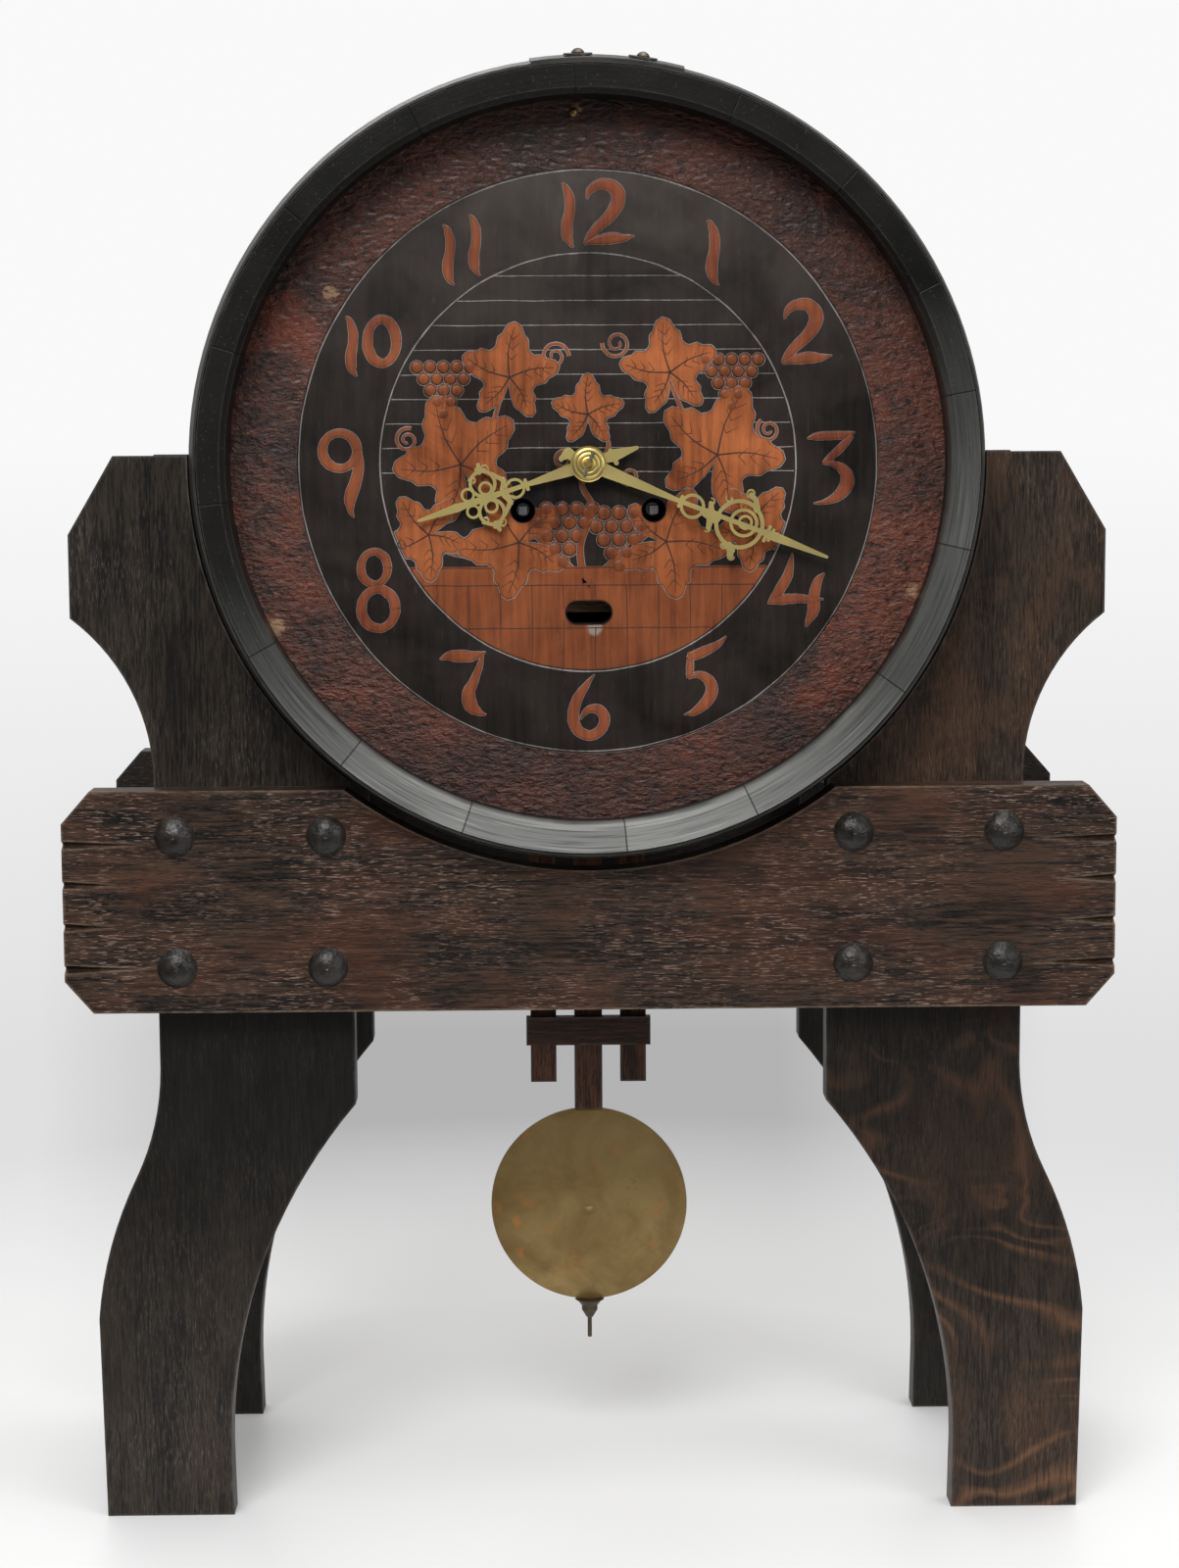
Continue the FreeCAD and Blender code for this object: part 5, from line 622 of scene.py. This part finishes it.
# Numerals, about each figure's middle, in millimetres: strokes as (u, v, width), rings as
# middle, half width, half height and stroke, and each figure's place on the dial and size
FIGURES = {
    "1": [[(-2.4, 15.5, .3), (-0.6, 13.4, 2.6), (1.2, 8, 4.6), (1.2, 1.5, 4.8), (0, -5, 5.4),
           (0.2, -10.5, 5), (1.6, -14, 2.4), (3.4, -16, .3)]],
    "2": [[(-10.3, 6.1, .3), (-8.6, 10.6, 3.2), (-4.6, 13.2, 4.6), (0.6, 13.2, 5.6),
           (4.6, 9.6, 6.6), (4.6, 4.4, 6.4), (1, -1.4, 5.6), (-5, -7, 4.6), (-9.2, -12, 3.6),
           (-11.2, -15, 1)],
          [(-11.6, -15.2, .4), (-8, -13.8, 3), (-3, -12.8, 4.8), (2, -12.2, 5.4), (7, -12.2, 3.8),
           (10.6, -11.6, 1.6), (13, -11.2, .3)]],
    "3": [[(-11.4, 13.6, .3), (-7, 14.6, 3.4), (1, 15, 4), (8, 15.4, 3.2), (12, 16.6, .4)],
          [(10.8, 15.2, 2), (6, 10, 3.6), (0, 4.4, 3.4), (-3.6, 1.6, 1.2)],
          [(-3.8, 1.9, 1), (2.5, 0.9, 3), (7.4, -2.8, 5.4), (8.2, -8.4, 6.6), (4.4, -13.8, 5.2),
           (-2, -17, 2.6), (-8.4, -18, .3)]],
    "4": [[(-2.2, 18, .3), (-3, 12, 3), (-4.8, 6, 4.6), (-8.6, -0.4, 4.6), (-12.4, -5, 2.2),
           (-14, -6.8, .3)],
          [(-14, -6.6, .4), (-8, -4.8, 4.4), (0, -4.2, 4.2), (7, -4.8, 3), (13.5, -4.6, .3)],
          [(13.8, 8.2, .3), (10.6, 4.5, 3.6), (8.6, -3, 5), (8.4, -10, 5.4), (6, -15.2, 2.8),
           (4.4, -18.4, .3)]],
    "5": [[(10.4, 20.5, .3), (6.6, 16.6, 3), (0, 13, 4.8), (-6, 10.6, 4.6), (-10, 9.2, 1.6)],
          [(-9, 12.2, .8), (-8.4, 6, 3.6), (-8.8, 0.6, 3), (-9.6, -1.6, 1)],
          [(-9.6, -1.3, 1), (-4, 0.4, 3.4), (1.2, -2.6, 5.2), (3, -8, 6), (0, -14, 5.6),
           (-6, -19, 3.6), (-11.8, -20.8, .3)]],
    "6": [[(3, 16.6, .3), (-1, 11.4, 2.8), (-5.4, 4.6, 4.8), (-7.6, -3.4, 5.2), (-6, -10.2, 5.2),
           (0, -13.6, 4.8), (5.8, -11, 4.8), (7.8, -5.2, 5), (4.6, -0.8, 4.6), (-0.2, -0.9, 3.2),
           (-3.4, -4.2, 1.4), (-4, -6, .3)]],
    "7": [[(-11.2, 11.4, .3), (-6.6, 13, 4.4), (-1, 13, 5.8), (5, 12.8, 4.6), (11.6, 15, .3)],
          [(10, 14.6, .8), (8.4, 8, 2.8), (5.4, 0.6, 4.2), (2.8, -5.6, 6), (3.8, -11.4, 6.6),
           (7.6, -14.8, 3.4), (11.6, -15.9, .3)]],
}
RINGS = {
    "0": [(0, 0, 7.2, 10.9, 4.6)],
    "8": [(-1.4, 11.4, 6.5, 8.0, 3.6), (0.3, -8.6, 8.3, 9.6, 4.4)],
    "9": [(0, 10.7, 8.4, 8.6, 4.2)],
}
TAILS = {"9": [[(8.8, 11, 3), (9.2, 4, 4.6), (7.6, -4, 5.4), (5, -11.5, 5.8), (4.6, -17.5, 3.2),
                (6.4, -22, .3)]]}
NUMERALS = (
    ("1", -9.6, 119.6, 0.98), ("2", 10.2, 120.6, 1.0), ("1", 60.4, 101.4, 1.0),
    ("2", 105.9, 63.0, 1.0), ("3", 118.2, -1.9, 1.0), ("4", 101.8, -62.0, 1.0),
    ("5", 57.5, -103.7, 0.94), ("6", -0.4, -119.4, 1.0), ("7", -62.2, -106.4, 1.0),
    ("8", -103.4, -61.4, 1.0), ("9", -120.8, -3.6, 1.0), ("1", -114.8, 57.4, 0.92),
    ("0", -99.6, 59.6, 0.97), ("1", -67.3, 101.0, 0.92), ("1", -54.7, 105.4, 0.92),
)


def ring_line(u, v, wide, high, stroke, steps=40):
    line = []
    for i in range(steps + 1):
        a = math.tau * i / steps
        swell = stroke * (1 + 0.12 * math.sin(a * 2 + 0.6))
        line.append((u + wide * math.cos(a), v + high * math.sin(a), swell))
    return line


def build_numerals():
    fill, rim = Relief(), Relief()
    for order, (figure, u, v, size) in enumerate(NUMERALS):
        lines = [curve_through(knots) for knots in FIGURES.get(figure, []) + TAILS.get(figure, [])]
        lines += [ring_line(*ring) for ring in RINGS.get(figure, [])]
        for part, line in enumerate(lines):
            moved = []
            for a, b, wide in line:
                sway = 0.25 * noise.noise(Vector((a * 0.35 + order * 7, b * 0.35, part)))
                moved.append((u + (a + sway) * size, v + (b + sway) * size, wide * size))
            fill.ribbon(moved, 0.42 + 0.03 * part)
            rim.ribbon(moved, 0.22 + 0.02 * part, grow=0.24, crown=0.1)
    fill.make("dial_numerals", "numeral_stain")
    rim.make("numeral_outlines", "cut_highlight")


def scored_circle(relief, radius, wide, seed, steps=240):
    line = []
    for i in range(steps + 1):
        a = math.tau * i / steps
        x, y = math.cos(a), math.sin(a)
        k = 1 + 0.5 * noise.noise(Vector((x * 6, y * 6, seed)))
        wave = radius + 0.25 * noise.noise(Vector((x * 9, y * 9, seed + 3)))
        line.append((wave * x, wave * y, wide * k))
    relief.ribbon(line, 0.16, crown=0.1)


def build_lines():
    """The scored circles of the chapter ring, and the level course lines within it."""
    rings = Relief()
    scored_circle(rings, CHAPTER_RADIUS - 0.6, 0.55, 1)
    scored_circle(rings, INNER_RADIUS, 0.65, 5)
    rings.make("dial_rings", "cut_highlight")
    courses = Relief()
    for row in range(COURSES):
        v = COURSE_TOP - COURSE_PITCH * row
        reach = math.sqrt(INNER_RADIUS ** 2 - v ** 2) - 1
        points = []
        steps = max(4, int(reach / 3))
        for i in range(steps + 1):
            u = -reach + 2 * reach * i / steps
            wander = 0.35 * noise.noise(Vector((u * 0.06, row * 5, 2)))
            points.append((u, v + wander, 0.4 + 0.3 * noise.noise(Vector((u * 0.3, row, 9)))))
        courses.ribbon(points, 0.12, crown=0.1)
    courses.make("dial_courses", "cut_highlight")


# The generic vine that fills the dial's middle: leaves as middle, size and direction in degrees,
# bunches as first berry and its radius, stems as (u, v, width), curls as middle, size and start
LEAVES = (
    (-62, 0, 36, 112), (63, 4, 36, 68), (-38, 42, 27, 84), (40, 44, 27, 98), (-34, -38, 31, 186),
    (38, -38, 31, -8), (-78, -34, 25, 200), (80, -30, 25, -22), (0, 24, 20, 90),
)
VEINS = ((0, 0.9), (72, 0.82), (-72, 0.82), (144, 0.62), (-144, 0.62))
BUNCHES = ((-13, -22, 3.8), (15, -24, 3.8), (-70, 47, 3.3), (70, 50, 3.3))
BUNCH_ROWS = 5
STEMS = (
    [(0, -60, 4.2), (-10, -50, 3.8), (-26, -34, 3.2), (-44, -20, 2.8), (-52, -4, 2.4),
     (-46, 20, 2), (-40, 40, 1.4)],
    [(0, -60, 4.2), (12, -48, 3.8), (28, -34, 3.2), (46, -18, 2.8), (53, 0, 2.4),
     (47, 22, 2), (39, 42, 1.4)],
    [(-2, -58, 3.8), (-4, -40, 3), (2, -22, 2.6), (-3, -8, 2.2), (10, 8, 1.8), (2, 22, 1.2)],
    [(-50, -8, 2), (-64, 12, 1.8), (-70, 28, 1.5), (-67, 42, 1)],
    [(52, -6, 2), (66, 14, 1.8), (70, 30, 1.5), (66, 44, 1)],
    [(-20, -40, 2), (-44, -46, 1.8), (-64, -44, 1.5), (-76, -40, 1)],
    [(20, -40, 2), (46, -46, 1.8), (66, -42, 1.5), (78, -36, 1)],
)
CURLS = ((-16, 52, 7, 0), (14, 58, 7, 3.1), (-88, 12, 6, 1.2),
         (88, 16, 6, 2.2), (-12, 2, 5, 0.4), (20, -6, 5, 2.6))


def leaf_outline(u, v, size, tilt, steps=150):
    outline = []
    for i in range(steps):
        a = math.tau * i / steps
        lobes = 1 - 2 * abs((a * 5 / math.tau + 0.5) % 1 - 0.5)
        long = 0.56 + 0.44 * lobes ** 1.15 - 0.2 * (1 - math.cos(a)) / 2
        notch = 0.3 * math.exp(-((a - math.pi) / 0.18) ** 2)
        teeth = 0.05 * (1 - 2 * abs((a * 25 / math.tau) % 1 - 0.5))
        r = size * (long - notch + teeth)
        b = a + math.radians(tilt)
        outline.append((u + r * math.cos(b), v + r * math.sin(b)))
    return outline


def inside_disc(u, v, room=1.0):
    away = math.hypot(u, v)
    limit = INNER_RADIUS - room
    return (u, v) if away < limit else (u * limit / away, v * limit / away)


def toward(u, v, long, angle):
    return u + long * math.cos(angle), v + long * math.sin(angle)


def build_leaf(order, leaf, veins, rims):
    """One leaf as a piece of its own, with its veins and outline in the shared reliefs."""
    u, v, size, tilt = leaf
    lift = 0.34 + 0.02 * order
    outline = [inside_disc(*p) for p in leaf_outline(*leaf)]
    blade = Relief()
    blade.plate(outline, lift, 0.7)
    made = blade.make("vine_leaf_%d" % (order + 1), "leaf_stain")
    if not outside_holes(u, v, size):
        cut_holes(made)
    rims.ribbon([(*p, 0.36) for p in [*outline, outline[0]]], lift - 0.1, crown=0.1)
    for turn, reach in VEINS:
        b = math.radians(tilt + turn)
        tip = inside_disc(*toward(u, v, size * reach, b), 3)
        knee = toward(u, v, size * reach * 0.5, math.radians(tilt + turn + 8))
        line = curve_through([(u, v, 0.9), (*knee, 0.6), (*tip, 0.25)], 5)
        veins.ribbon(line, lift + 0.1, crown=0.1)
        for part in (0.35, 0.55, 0.75):
            for side in (-1, 1):
                start = toward(u, v, size * reach * part, b)
                end = inside_disc(*toward(*start, size * 0.17, b + side * 0.75), 3)
                veins.ribbon([(*start, 0.4), (*end, 0.2)], lift + 0.09, crown=0.1)


def curl_line(u, v, size, phase, steps=45):
    line = []
    for i in range(steps + 1):
        t = i / steps
        turned_to = toward(u, v, size * (1 - 0.8 * t), phase + t * 3.2 * math.pi)
        line.append((*turned_to, 1.5 * (1 - 0.4 * t)))
    return line


def build_bunch(u, v, size, berries, rims):
    for row in range(BUNCH_ROWS):
        count = BUNCH_ROWS - row
        for k in range(count):
            cu = u + (k - (count - 1) / 2) * size * 1.96
            cv = v - row * size * 1.7
            if outside_holes(cu, cv, size * 0.5):
                outline = circle(cu, cv, size, 28)
                berries.plate(outline, 0.5 + 0.01 * k, 1.4)
                rims.ribbon([(*p, 0.3) for p in [*outline, outline[0]]], 0.2, crown=0.1)


def build_ground(veins, steps=64):
    """The plank ground below the vine, with its scored board joints among the veins."""
    ground = Relief()
    rise = math.degrees(math.asin(-GROUND_RISE / INNER_RADIUS))
    outline = []
    for i in range(steps + 1):
        a = math.radians(180 + rise + (180 - 2 * rise) * i / steps)
        outline.append(((INNER_RADIUS - 0.6) * math.cos(a), (INNER_RADIUS - 0.6) * math.sin(a)))
    ground.plate(outline, 0.26, 0.5)
    cut_holes(ground.make("vine_ground", "figure_stain"))
    for row, v in enumerate((GROUND_RISE - 0.5, GROUND_RISE - 9, GROUND_RISE - 30)):
        reach = math.sqrt(INNER_RADIUS ** 2 - v ** 2) - 1.5
        line = []
        for i in range(31):
            wander = 0.3 * noise.noise(Vector((i * 0.4, row, 4)))
            line.append((-reach + 2 * reach * i / 30, v + wander, 0.5))
        veins.ribbon(line, 0.34, crown=0.1)
    for k in range(-5, 6):
        u = 15.5 * k + 3
        low = -math.sqrt(INNER_RADIUS ** 2 - u ** 2) + 1.5
        top = GROUND_RISE - 9
        if low < top - 4:
            joint = [(u, top, 0.35), (u + 0.3, (top + low) / 2, 0.45), (u, low, 0.3)]
            veins.ribbon(joint, 0.33, crown=0.1)


def build_vine():
    veins, stems, rims, berries = Relief(), Relief(), Relief(), Relief()
    for order, leaf in enumerate(LEAVES):
        build_leaf(order, leaf, veins, rims)
    for knots in STEMS:
        line = curve_through(knots, 8)
        stems.ribbon(line, 0.3)
        rims.ribbon(line, 0.16, grow=0.3, crown=0.1)
    for curl in CURLS:
        line = curl_line(*curl)
        stems.ribbon(line, 0.3)
        rims.ribbon(line, 0.16, grow=0.26, crown=0.1)
    for bunch in BUNCHES:
        build_bunch(*bunch, berries, rims)
    build_ground(veins)
    stems.make("vine_stems", "figure_stain")
    veins.make("vine_veins", "cut_dark")
    rims.make("vine_outlines", "cut_highlight")
    berries.make("vine_berries", "figure_stain", True)


def build_band(rows=56, around=1100):
    """The tooled ring between the chapter ring and the chime, its pits in the mesh."""
    inner, skin = CHAPTER_RADIUS + 0.15, 0.66
    points, faces = [], []
    for i in range(rows + 1):
        r = inner + (BAND_RADIUS - inner) * i / rows
        rim = min(1.0, i / 2, (rows - i) / 2)
        for u, v in circle(0, 0, r, around):
            tool = noise.noise(Vector((u * 0.2, v * 0.62, 0.3)))
            pit = noise.noise(Vector((u * 0.38, v * 0.5, 7.1)))
            deep = min(0.5, 0.8 * max(0.0, tool - 0.05) + 0.6 * max(0.0, pit - 0.1))
            points.append(spot(u, v, BAND_FACE_Y - skin + deep * rim))
    for i in range(rows):
        for k in range(around):
            a, b = i * around + k, i * around + (k + 1) % around
            faces.append((a, b, b + around, a + around))
    low = len(points)
    for row in (0, rows):
        for p in points[row * around:(row + 1) * around]:
            points.append(Vector((p.x, (BAND_FACE_Y + 0.05) * MM, p.z)))
    for k in range(around):
        n = (k + 1) % around
        faces.append((k, low + k, low + n, n))
        a, b = rows * around + k, rows * around + n
        faces.append((a, b, low + around + n, low + around + k))
    piece("dial_band", points, faces, "band_stain", True)


def turned(name, profile, place, finish, body, along=(0, -1, 0), around=32):
    """A turned piece: radius and height pairs, in millimetres, about a line through a place."""
    way = Vector(along)
    side = way.orthogonal().normalized()
    other = way.cross(side)
    points, faces = [], []
    for r, high in profile:
        for k in range(around):
            a = math.tau * k / around
            out = side * math.cos(a) + other * math.sin(a)
            points.append(place + out * r * MM + way * high * MM)
    for i in range(len(profile) - 1):
        for k in range(around):
            a, b = i * around + k, i * around + (k + 1) % around
            faces.append((a, a + around, b + around, b))
    faces.append(tuple(range(around)))
    faces.append(tuple(range(len(points) - around, len(points))))
    piece(name, points, faces, finish, True, body)


# The brass pin's radius and height pairs in millimetres, and each cup rim's height, reach and
# half thickness as shares of the cup's own height, radius and height
PIN_PROFILE = ((0.4, 2.6), (0.9, 2.5), (1.7, 2.1), (2.2, 1.5),
               (2.3, 0.9), (1.9, 0.5), (1.2, 0.4), (1.1, -0.3))
CUP_RIMS = ((0.90, 1.08, 0.07), (0.55, 0.80, 0.06))


def build_turned():
    """The small brass pin near the top of the dial, and the rims of the cup below the bob."""
    turned("dial_pin", PIN_PROFILE, spot(-6.2, 168.0, BAND_FACE_Y - 0.5),
           "screw_brass", "clock")
    low, high = box_of("bob_cup")
    tall = (high.z - low.z) / MM
    wide = (high.x - low.x) / 2 / MM
    foot = Vector(((low.x + high.x) / 2, (low.y + high.y) / 2, low.z))
    for number, (rise, reach, thick) in enumerate(CUP_RIMS):
        r, z, t = wide * reach, tall * rise, tall * thick
        rim = ((r * 0.4, z - t), (r * 0.8, z - t), (r * 0.97, z - t * 0.5),
               (r, z), (r * 0.94, z + t * 0.5), (r * 0.4, z + t))
        name = "bob_cup_rim_%d" % (number + 1)
        turned(name, rim, foot, "cup_iron", "pendulum", (0, 0, 1))


def box_of(node):
    """A node's lowest and highest corners where it is now."""
    made = NODES[node]
    corners = [made.matrix_world @ Vector(corner) for corner in made.bound_box]
    return [Vector([pick(c[i] for c in corners) for i in range(3)]) for pick in (min, max)]


# Scroll ends on the hands: middle as shares of the hand's length along and across it, size as
# such a share, start in degrees, and sense
HOUR_CURLS = (
    ((0.470, 0.062), 0.034, 200, 1), ((0.470, -0.062), 0.034, 160, -1),
    ((0.560, 0.158), 0.030, 250, -1), ((0.560, -0.158), 0.030, 110, 1),
    ((0.640, 0.112), 0.026, 20, 1), ((0.640, -0.112), 0.026, 340, -1),
)
MINUTE_CURLS = (
    ((0.632, 0.122), 0.022, 250, -1), ((0.648, -0.132), 0.022, 110, 1),
    ((0.600, -0.104), 0.018, 60, -1), ((0.560, 0.074), 0.018, 160, 1),
    ((0.498, 0.036), 0.015, 120, -1), ((0.520, -0.064), 0.015, 240, 1),
    ((-0.104, -0.020), 0.012, 60, 1),
)


def build_scrolls(name, hand, body, curls, long, degrees, steps=24):
    """Round scroll ends that lie flat on a hand's sheet."""
    made = Relief(box_of(hand)[0].y / MM + HAND_SHEET * 0.8)
    turn = math.radians(degrees)
    for (along, across), size, start, way in curls:
        u = long * (along * math.cos(turn) - across * math.sin(turn))
        v = long * (along * math.sin(turn) + across * math.cos(turn))
        line = []
        for i in range(steps + 1):
            share = i / steps
            a = turn + math.radians(start) + way * share * 4.6
            end = toward(u, v, long * size * (1 - 0.72 * share), a)
            line.append((*end, HAND_SHEET * (0.7 + 0.5 * share)))
        made.strip(line, HAND_SHEET * 0.8 - 0.02, 0.0, 0.4)
    piece(name, made.points, made.faces, "hand_brass", False, body)


# Stage
def build_floor(around=96):
    """A pale floor that fades into the background and keeps the clock's shadow."""
    points = [Vector((x, y, 0)) for x, y in [(0, 0), *circle(0, 0, FLOOR_RADIUS, around)]]
    faces = [(0, 1 + i, 1 + (i + 1) % around) for i in range(around)]
    mesh = bpy.data.meshes.new("floor")
    mesh.from_pydata(points, [], faces)
    floor = placed("floor", mesh)
    f = Finish("floor_white", specular=0.35)
    colour = f.mix(f.noise(f.place, 3, 2), (222, 222, 223), (228, 228, 228))
    f.finish(colour, f.span(f.noise(f.place, 30), 0.3, 0.7, 0.34, 0.42))
    seen = f.node("ShaderNodeLightPath").outputs["Is Camera Ray"]
    f.feed(f.shader.inputs["Emission Strength"], f.times(seen, 0.06))
    f.shader.inputs["Emission Color"].default_value = linear(236, 236, 237)
    clear = f.node("ShaderNodeBsdfTransparent")
    fade = f.node("ShaderNodeMixShader")
    f.feed(fade.inputs[0], f.span(f.away(f.place, (0, 0, 0)), *FLOOR_FADE))
    f.feed(fade.inputs[1], f.shader.outputs[0])
    f.feed(fade.inputs[2], clear.outputs[0])
    f.feed(f.out.inputs[0], fade.outputs[0])
    mesh.materials.append(f.material)


def build_world():
    """As light, a pale wall behind, a ceiling and a dim room in front; to the eye, a pale wall with
    a painted shadow of the clock low down behind it.
    """
    world = bpy.data.worlds.new("studio")
    bpy.context.scene.world = world
    world.use_nodes = True
    w = Nodes(world.node_tree)
    parts = w.node("ShaderNodeSeparateXYZ")
    w.feed(parts.inputs[0], w.node("ShaderNodeTexCoord").outputs["Generated"])
    x, y, z = parts.outputs
    lit = w.node("ShaderNodeBackground")
    w.feed(lit.inputs["Color"], (1.0, 0.99, 0.97, 1.0))
    light = w.plus(w.span(y, -0.5, 0.6, 0.13, 0.42), w.span(z, 0.0, 1.0, 0.0, 0.5))
    w.feed(lit.inputs["Strength"], light)
    seen = w.node("ShaderNodeBackground")
    w.feed(seen.inputs["Color"], linear(249, 249, 250))
    falling = w.span(z, 0.0, -0.2, 1.0, 0.79)
    # Painted shadow of the clock on the wall, low down and straight behind it.
    near = w.minus(1.0, w.span(w.math("ABSOLUTE", x), 0.08, 0.17))
    band = w.times(w.span(z, -0.1, -0.2), w.span(y, 0.6, 0.9))
    painted_wall_shadow = w.times(w.times(near, band), 0.4)
    w.feed(seen.inputs["Strength"], w.times(falling, w.minus(1.0, painted_wall_shadow)))
    mix = w.node("ShaderNodeMixShader")
    w.feed(mix.inputs[0], w.node("ShaderNodeLightPath").outputs["Is Camera Ray"])
    w.feed(mix.inputs[1], lit.outputs[0])
    w.feed(mix.inputs[2], seen.outputs[0])
    w.feed(w.node("ShaderNodeOutputWorld").inputs[0], mix.outputs[0])


def build_lamps():
    for name, (place, aim, wide, high, power) in LAMPS.items():
        data = bpy.data.lights.new(name, "AREA")
        data.shape, data.size, data.size_y, data.energy = "RECTANGLE", wide, high, power
        made = placed(name, data)
        made.location = place
        made.rotation_euler = (Vector(aim) - Vector(place)).to_track_quat("-Z", "Y").to_euler()


def build_camera():
    data = bpy.data.cameras.new("camera")
    data.sensor_fit = "VERTICAL"
    data.sensor_height = CAMERA_SENSOR
    data.lens = CAMERA_LENS
    data.clip_start, data.clip_end = CAMERA_NEAR, CAMERA_FAR
    made = placed("camera", data)
    turn = Matrix.Rotation(math.radians(-CAMERA_YAW), 4, "Z")
    turn = turn @ Matrix.Rotation(math.radians(90 - CAMERA_PITCH), 4, "X")
    turn = turn @ Matrix.Rotation(math.radians(CAMERA_ROLL), 4, "Z")
    made.matrix_world = Matrix.Translation(CAMERA_PLACE) @ turn
    bpy.context.scene.camera = made


build_materials()
dress_nodes()
build_camera()
build_world()
build_floor()
build_lamps()
build_numerals()
build_lines()
build_vine()
build_band()
build_turned()
build_scrolls("hour_scrolls", "hour_hand", "hour", HOUR_CURLS, HOUR_LONG, HOUR_WAY)
build_scrolls("minute_scrolls", "minute_hand", "minute", MINUTE_CURLS, MINUTE_LONG, MINUTE_WAY)

bpy.context.scene.view_settings.view_transform = "Standard"
